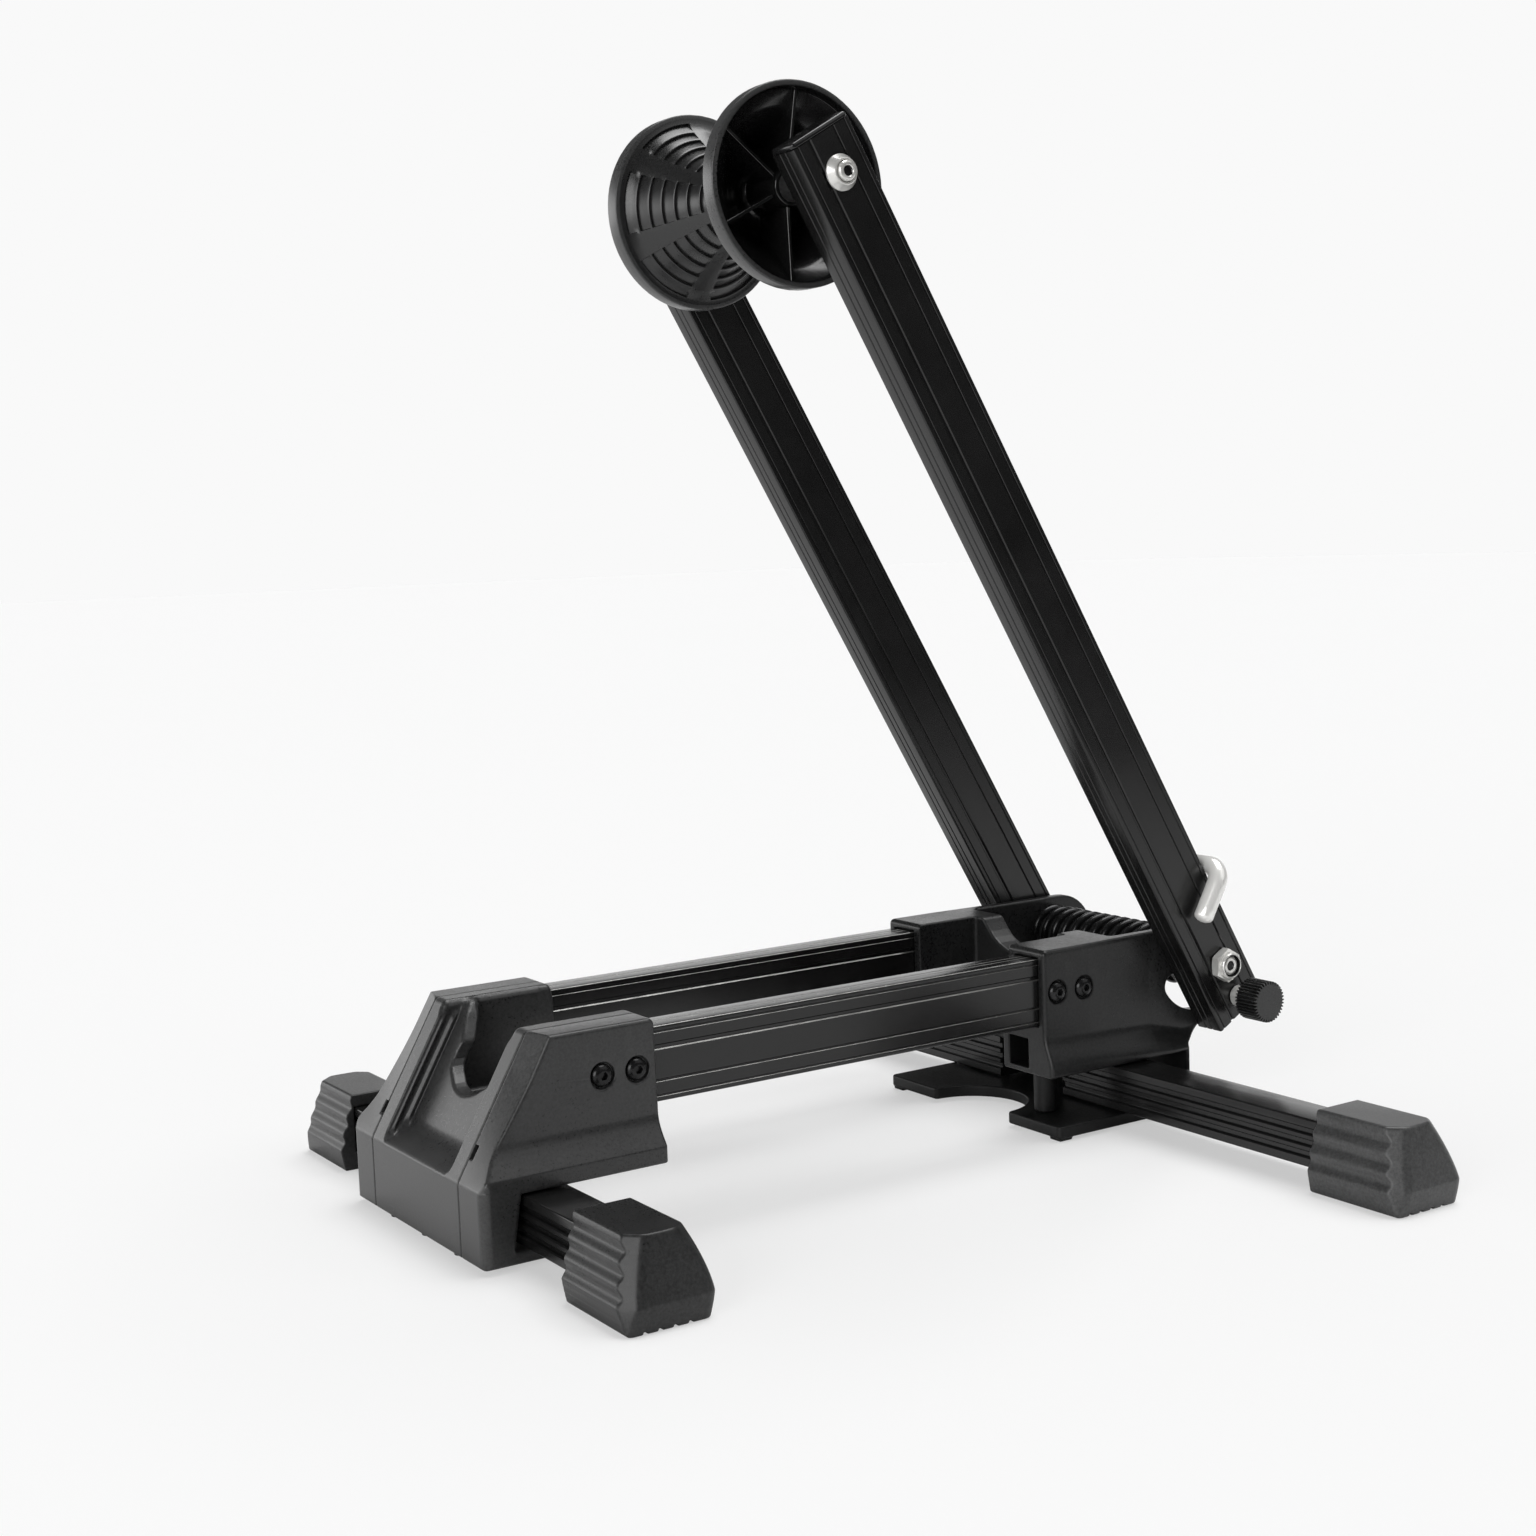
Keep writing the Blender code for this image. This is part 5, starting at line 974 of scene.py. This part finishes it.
def roller_half(padded):
    """Profile (radius, y) from the waist out over the cone and rim, and in through the bowl to the hub."""
    points = [on_cone(2)]
    first, last = 16, float(cone_run[-1]) - 4
    pitch = (last - first) / PAD_STEPS
    for k in range(PAD_STEPS):
        low = first + k * pitch
        for share, sunk in PAD_TOOTH:
            raised = not padded or k == 0 and share == 0
            points.append(on_cone(low + share * pitch, 0 if raised else PAD_DEPTH * sunk))
    points += [on_cone(last, PAD_DEPTH * 0.97 if padded else 0), on_cone(last + 1)]
    points += [(37.6, 34.35), (38.9, 34.5), (40.1, 34.62), (40.45, 34.75), (40.62, 34.95), (RIM, 35.3), (RIM, 41.2),
               (40.6, 41.6), (40.35, 41.88), (40, END), (38.6, END), (38.25, 41.85), (38.05, 41.5), (37.8, 39.2),
               (37.3, 38)]
    shares = (0.97, 0.92, 0.86, 0.78, 0.7, 0.62, 0.54, 0.47, 0.4)
    points += [(drum(share) - 0.8, WEB_Y * share + 3) for share in shares]
    points += [(15.6, 15.3), (13.4, 14.6), (11, 14.6), (9, 15.2), (7.8, 16.4), (7.5, 18), (7.5, 35.1),
               (7.35, 35.6), (7, 35.9), (6.6, 35.95), (4.7, 35.95), (4.3, 35.6), (4.3, 20)]
    return points


def rib_top(radius):
    """Height of a rib in the bowl at a radius."""
    return 33.95 + (radius - 5.8) / 32.2 * 4.5


BOWL_FROM = 1 + PAD_STEPS * 9 + 2 + 14


def roller_mesh(name):
    """The whole roller as one closed grid: profile points round every column."""
    work = bmesh.new()
    smooth_side, padded_side = roller_half(False), roller_half(True)
    edge = RIB_TURN - PAD_TURN
    offsets = [0, 1, 2, 3, 6.5, edge - 0.35, edge + 0.1, 13, 17, 21, 25, 30]
    widths = (0, 0.55, 0.72, 0.9)
    rows = []
    for sector in range(6):
        centre = RIB_TURN + 60 * sector
        for code in list(range(2 - len(offsets), 0)) + list(range(len(offsets))):
            sign, kind = -1 if code < 0 else 1, abs(code)
            half = padded_side if kind >= 6 else smooth_side
            row = []
            loop = [(radius, -y, k) for k, (radius, y) in reversed(list(enumerate(half)))]
            loop += [(radius, y, k) for k, (radius, y) in enumerate(half)]
            for radius, y, k in loop:
                near = kind < len(widths)
                turn = centre + sign * (degrees(asin(widths[kind] / max(radius, 7))) if near else offsets[kind])
                height = abs(y)
                in_bowl = k >= BOWL_FROM and radius > 7.6 and height < rib_top(radius)
                if in_bowl and kind < 3:
                    height = rib_top(radius) - (0, 0, 0.16)[kind]
                angle = radians(turn + ROLLER_TURN)
                place = (radius * cos(angle), copysign(height, y), -radius * sin(angle))
                row.append(work.verts.new(place))
            rows.append(row)
    loft(work, rows + rows[:1])
    return closed_mesh(name, work)


def faces_bowl(face):
    """Whether a face of the roller belongs to one of its bowls."""
    out = face.center.y
    radius = off_axis(face, axle_at)
    return radius < 38.2 and abs(out) > 14 * MM and face.normal.y * out > 0 or radius < 8


axle_at = lean @ Vector((-ARM_OFFSET, 0, AXLE_UP))
roller = roller_mesh("roller_moulding")
fit(roller, at(axle_at), 38, "roller_drum", DRUM_PLASTIC, "roller")
second_look(roller, GLOSS_PLASTIC, faces_bowl)
# Painted highlight: the roller's outer rims take the paler plastic
second_look(roller, RIM_HIGHLIGHT_PLASTIC, lambda face: off_axis(face, axle_at) > 38.6)


# ---------------- fastenings
def across(side):
    """Turn an upright turned part so that its top looks out to a side."""
    return Matrix.Rotation(-side * pi / 2, 4, "X")


ARM_OUT = 70.2
NUT_SEAT = ARM_OUT + FIT
HEXAGON = 13.5 / sqrt(3)
DOME = [(0, -1), (4.8, -1), (6.4, 0), (HEXAGON + 0.4, 0.9), (HEXAGON + 0.4, 3.5), (6.5, 4.5), (0, 4.5)]
COLLAR = [(0, 3.6), (5.75, 3.6), (5.75, 5.9), (5.5, 6.2), (5.15, 6.3), (4.95, 6.1), (4.95, 4.9), (0, 4.9)]
AXLE_NUT = [(4.2, 0), (6.9, 0), (7.1, 0.2), (7.1, 0.9), (6.9, 1.2), (6.2, 2.1), (5.5, 3.4), (5.25, 3.85), (4.95, 4),
            (4.6, 4), (4.35, 3.8), (4.2, 3.2)]
SPACER = [(4.3, 0), (5.9, 0), (6.2, 0.3), (6.2, 18.4), (5.9, 18.65), (4.3, 18.65)]


def mounted(side, along, out, up):
    """Place on an arm for an upright turned part, with its top looking out to a side."""
    return lean @ at((along, side * out, up)) @ across(side)


for side, label in SIDES:
    nut = extruded(f"pivot_nut_{label}_hexagon", [arc((0, 0), HEXAGON, 0, 300, 5)], 0, 4.5)
    carve(nut, turned("dome", DOME, 48), "INTERSECT")
    carve(nut, turned("collar", COLLAR, 40), "UNION")
    drill(nut, Matrix(), (0, 0, 2), 4.15, 18)
    fit(nut, mounted(side, 0, NUT_SEAT, 0), 25, "arms", ZINC, "pivot_nut_" + label)
    # Painted shade: the inside of the collar round the bolt takes the dark glossy plastic
    second_look(nut, GLOSS_PLASTIC,
                lambda face: 3.9 < off_axis(face, pivot) < 5 and abs(face.center.y) > (ARM_OUT + 4.5) * MM)
    nut = turned(f"axle_nut_{label}_ring", AXLE_NUT, 64)
    fit(nut, mounted(side, -ARM_OFFSET, NUT_SEAT, AXLE_UP), 25, "arms", ZINC, "axle_nut_" + label)
    spacer = turned(f"axle_spacer_{label}_sleeve", SPACER, 32)
    fit(spacer, mounted(side, -ARM_OFFSET, 36.25, AXLE_UP), 25, "arms", PLASTIC, "axle_spacer_" + label)

for name, centre, half in (("pivot_bolt", pivot, NUT_SEAT + 5.4), ("roller_axle", axle_at, NUT_SEAT + 5.5)):
    drops = ((0, 0.9), (1.7, 0.8), (2.1, 0.3), (2.4, 0.05), (3.1, 0), (3.6, 0.25), (4, 0.8), (4, half))
    profile = [(radius, half - drop) for radius, drop in drops]
    profile += [(radius, -height) for radius, height in reversed(profile[:-1])]
    bolt = turned(name + "_rod", profile, 32)
    fit(bolt, at(centre) @ lean.to_3x3().to_4x4() @ ALONG_Y, 25, "arms", ZINC, name)
    # Painted shade: the recess in each end of the rod takes the dark steel
    second_look(bolt, STEEL, lambda face: off_axis(face, centre) < 2)

# Bent rod behind the left arm
ROD = 4.3
ROD_BEND = 8.5
rod_corner = Vector((-ARM_OFFSET + 15 + FIT + ROD, -(ARM_OUT - 1.8 + ROD_BEND), 42))
rod_leg = Vector((-cos(radians(29.4)), 0, -sin(radians(29.4))))
rod_side = Vector((0, ROD_BEND, 0))
route = [rod_corner + Vector((0, 25.1 - 4 * k, 0)) for k in range(5)]
for k in range(13):
    turn = k / 12 * pi / 2
    route.append(rod_corner + rod_side * (1 - sin(turn)) + rod_leg * (ROD_BEND * (1 - cos(turn))))
route += [rod_corner + rod_leg * reach for reach in (12, 16, 20, 24.2)]
fit(wire("bent_rod_steel", route, ROD, 28, round_ends=True), lean, 40, "arms", SATIN_ZINC, "bent_rod")

# Spring and its sleeve
TURNS = 13.5
PITCH = 6.85
COIL = 11.4
turns = [2 * pi * k / 32 for k in range(int(TURNS * 32) + 1)]
coil = [pivot + Vector((COIL * cos(t), (t / 2 / pi - TURNS / 2) * PITCH, COIL * sin(t))) for t in turns]
fit(wire("torsion_spring_wire", coil, 1.6, 12), Matrix(), 50, "base", STEEL, "torsion_spring")
tube = [(4.3, -48.2), (9.2, -48.2), (9.5, -47.9), (9.5, 47.9), (9.2, 48.2), (4.3, 48.2)]
fit(turned("spring_sleeve_tube", tube, 40), at(pivot) @ ALONG_Y, 25, "base", PLASTIC, "spring_sleeve")

# Thumb screw. Its head is hollow behind, round the collar
KNOB = 9.3
KNOB_UP = 11.5
TEETH = 36
TOOTH = 1.1


def knurl(share, height, toothed):
    """Outline of the head, plain or toothed, at a share of its radius and a height over its seat."""
    ring = []
    for k in range(TEETH * 8):
        turn = 2 * pi * k / (TEETH * 8)
        wave = 0.5 - 0.5 * cos(turn * TEETH)
        radius = KNOB - toothed * TOOTH * min(max((wave - 0.3) / 0.4, 0), 1)
        ring.append((radius * share * cos(turn), radius * share * sin(turn), KNOB_UP + height))
    return ring


HEAD = ((0.58, 0, 0), (0.58, -4.2, 0), (0.9, -4.2, 1), (0.97, -3.95, 1), (1, -3.6, 1), (1, 7.9, 1), (0.985, 8.3, 1),
        (0.955, 8.5, 1), (0.84, 8.5, 0), (0.5, 8.5, 0))
knob_face = at((knob_at.x, -NUT_SEAT, knob_at.z)) @ across(-1)
knob = rings("thumb_knob_head", [knurl(*level) for level in HEAD])
fit(knob, knob_face, 20, "knob", KNOB_PLASTIC, "thumb_knob")
# Painted shade: the flanks deep between the knob's teeth take the dark glossy plastic
second_look(knob, GLOSS_PLASTIC, lambda face: abs(face.normal.y) < 0.3 and off_axis(face, knob_at) < KNOB - 0.7)
# Painted highlight: the chamfer round the knob's face takes the paler rubber
second_look(knob, PAINTED_LIGHT_RUBBER, lambda face: 0.3 < -face.normal.y < 0.9 and off_axis(face, knob_at) > 0.93 * KNOB)
stem = turned("thumb_screw_stem", [
    (0, 11.2), (4.5, 11.2), (4.85, 10.85), (4.85, 6.2), (4.55, 5.9), (4.55, 5.2), (4.85, 4.9), (4.85, 0.4), (4.5, 0),
    (4, 0), (4, -23), (3.5, -23.7), (0, -23.7)], 40)
fit(stem, knob_face, 25, "knob", ZINC, "thumb_screw")

# Button-head screws with hexagon sockets
BUTTON = [(0, 2.62), (1.9, 2.6), (2.5, 2.5), (3.1, 2.28), (3.65, 1.92), (4.1, 1.45), (4.42, 0.9), (4.58, 0.4),
          (4.6, 0.15), (4.5, 0), (2.5, 0), (2.5, -19.5), (2.1, -20), (0, -20)]
for end, distances, seat in (("front", FRONT_SCREWS, 53), ("rear", REAR_SCREWS, 55.4)):
    for side, label in SIDES:
        for k, distance in enumerate(distances):
            node = f"{end}_screw_{label}_{k + 1}"
            screw = turned(node + "_button", BUTTON, 40)
            carve(screw, extruded("socket", [arc((0, 0), 1.75, 0, 300, 5)], 1, 4))
            turn = at((FRONT_X + distance, side * seat, RAIL_Z)) @ across(side)
            fit(screw, turn, 25, "base", STEEL, node)

# Pins stay as packed and take a finish
for end in ("front", "rear"):
    for label in ("left", "right"):
        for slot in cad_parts[f"{end}_bar_pin_{label}"].material_slots:
            slot.link = "OBJECT"
            slot.material = STEEL.material


# ---------------- floor, light and camera
# Pale paper floor. The camera sees part of it as evenly white, as in an overexposed studio sweep
PAPER = 0.947
paper = Look("studio_floor")
paper.put("Specular IOR Level", 0.1)
space = paper.space()
paper.put("Base Color", paper.blended(paper.noise(space, 0.8, 2), (0.93, 0.93, 0.93), (0.94, 0.94, 0.94)))
paper.put("Roughness", paper.remap(paper.noise(space, 40, 3), 0.3, 0.7, 0.8, 0.9))
white = paper.add("ShaderNodeEmission", {"Color": (PAPER, PAPER, PAPER), "Strength": 1})[0]
camera_ray = paper.add("ShaderNodeLightPath", {})["Is Camera Ray"]
lit = paper.tree.nodes["Principled BSDF"].outputs[0]
mixed = paper.add("ShaderNodeMixShader", {0: paper.maths("MULTIPLY", camera_ray, 0.5), 1: lit, 2: white})[0]
paper.feed(mixed, paper.tree.nodes["Material Output"].inputs["Surface"])
FLOOR_X, FLOOR_Y, FLOOR_Z = (-9, 12), (-0.98, 16), -0.0002
floor_mesh = bpy.data.meshes.new("studio_floor")
floor_mesh.from_pydata([(FLOOR_X[k in (1, 2)], FLOOR_Y[k > 1], FLOOR_Z) for k in range(4)], [], [(0, 1, 2, 3)])
floor = add("studio_floor", floor_mesh)
floor.data.materials.append(paper.material)

# The studio: a low white sweep behind and to the left, a dim room, and three soft lamps
world = bpy.data.worlds.new("studio")
bpy.context.scene.world = world
world.use_nodes = True
sky = Nodes(world.node_tree)
path = sky.add("ShaderNodeLightPath", {})
split = sky.add("ShaderNodeSeparateXYZ", {0: sky.add("ShaderNodeTexCoord", {})["Generated"]})


def facing(axis):
    """How far a direction of the world faces along an axis."""
    total = 0
    for share, socket in zip(axis.normalized(), split):
        total = sky.maths("ADD", sky.maths("MULTIPLY", socket, share), total)
    return total


ROOM = 0.09
low = sky.remap(split[2], 0.22, 0.36, 1, 0)
behind = sky.remap(facing(Vector((-0.3, 0.95, 0))), -0.35, 0.25, 0, 1)
left = sky.remap(facing(Vector((-0.8, 0.6, 0))), 0.65, 0.97, 1.2, 3.1)
level = sky.maths("ADD", ROOM, sky.maths("MULTIPLY", sky.maths("MULTIPLY", low, behind), left))
seen = sky.maths("MAXIMUM", path["Is Camera Ray"], path["Is Transmission Ray"])
unseen = sky.maths("MULTIPLY", sky.maths("SUBTRACT", 1, seen), level)
background = world.node_tree.nodes["Background"].inputs
background["Color"].default_value = (1, 1, 1, 1)
sky.feed(sky.maths("ADD", sky.maths("MULTIPLY", seen, PAPER), unseen), background["Strength"])

# Name, energy, angular size in degrees, and where it shines from
LAMPS = (("overhead", 2.15, 42, (0.3, 0.06, 0.95)), ("side_softbox", 1.3, 36, (-0.84, -0.46, 0.28)),
         ("front_softbox", 0.45, 50, (0.5, -0.55, 0.67)))
for name, energy, size, source in LAMPS:
    lamp = bpy.data.lights.new(name, "SUN")
    lamp.energy = energy
    lamp.angle = radians(size)
    add(name, lamp).rotation_euler = Vector(source).to_track_quat("Z", "Y").to_euler()

# Camera, fitted to the photograph
CAMERA_AT = (-0.51805, -0.76357, 0.26562)
azimuth, elevation, roll = (radians(value) for value in (-32.81, 6.05, -2.06))
back = Vector((sin(azimuth) * cos(elevation), -cos(azimuth) * cos(elevation), sin(elevation)))
right = Vector((cos(azimuth), sin(azimuth), 0))
up = back.cross(right)
axes = (right * cos(roll) + up * sin(roll), up * cos(roll) - right * sin(roll), back)
camera_data = bpy.data.cameras.new("camera")
camera_data.sensor_width = 36
camera_data.lens = 50.362
camera = add("camera", camera_data)
camera.matrix_world = at(CAMERA_AT) @ Matrix(axes).transposed().to_4x4()
bpy.context.scene.camera = camera
bpy.context.scene.view_settings.view_transform = "Standard"
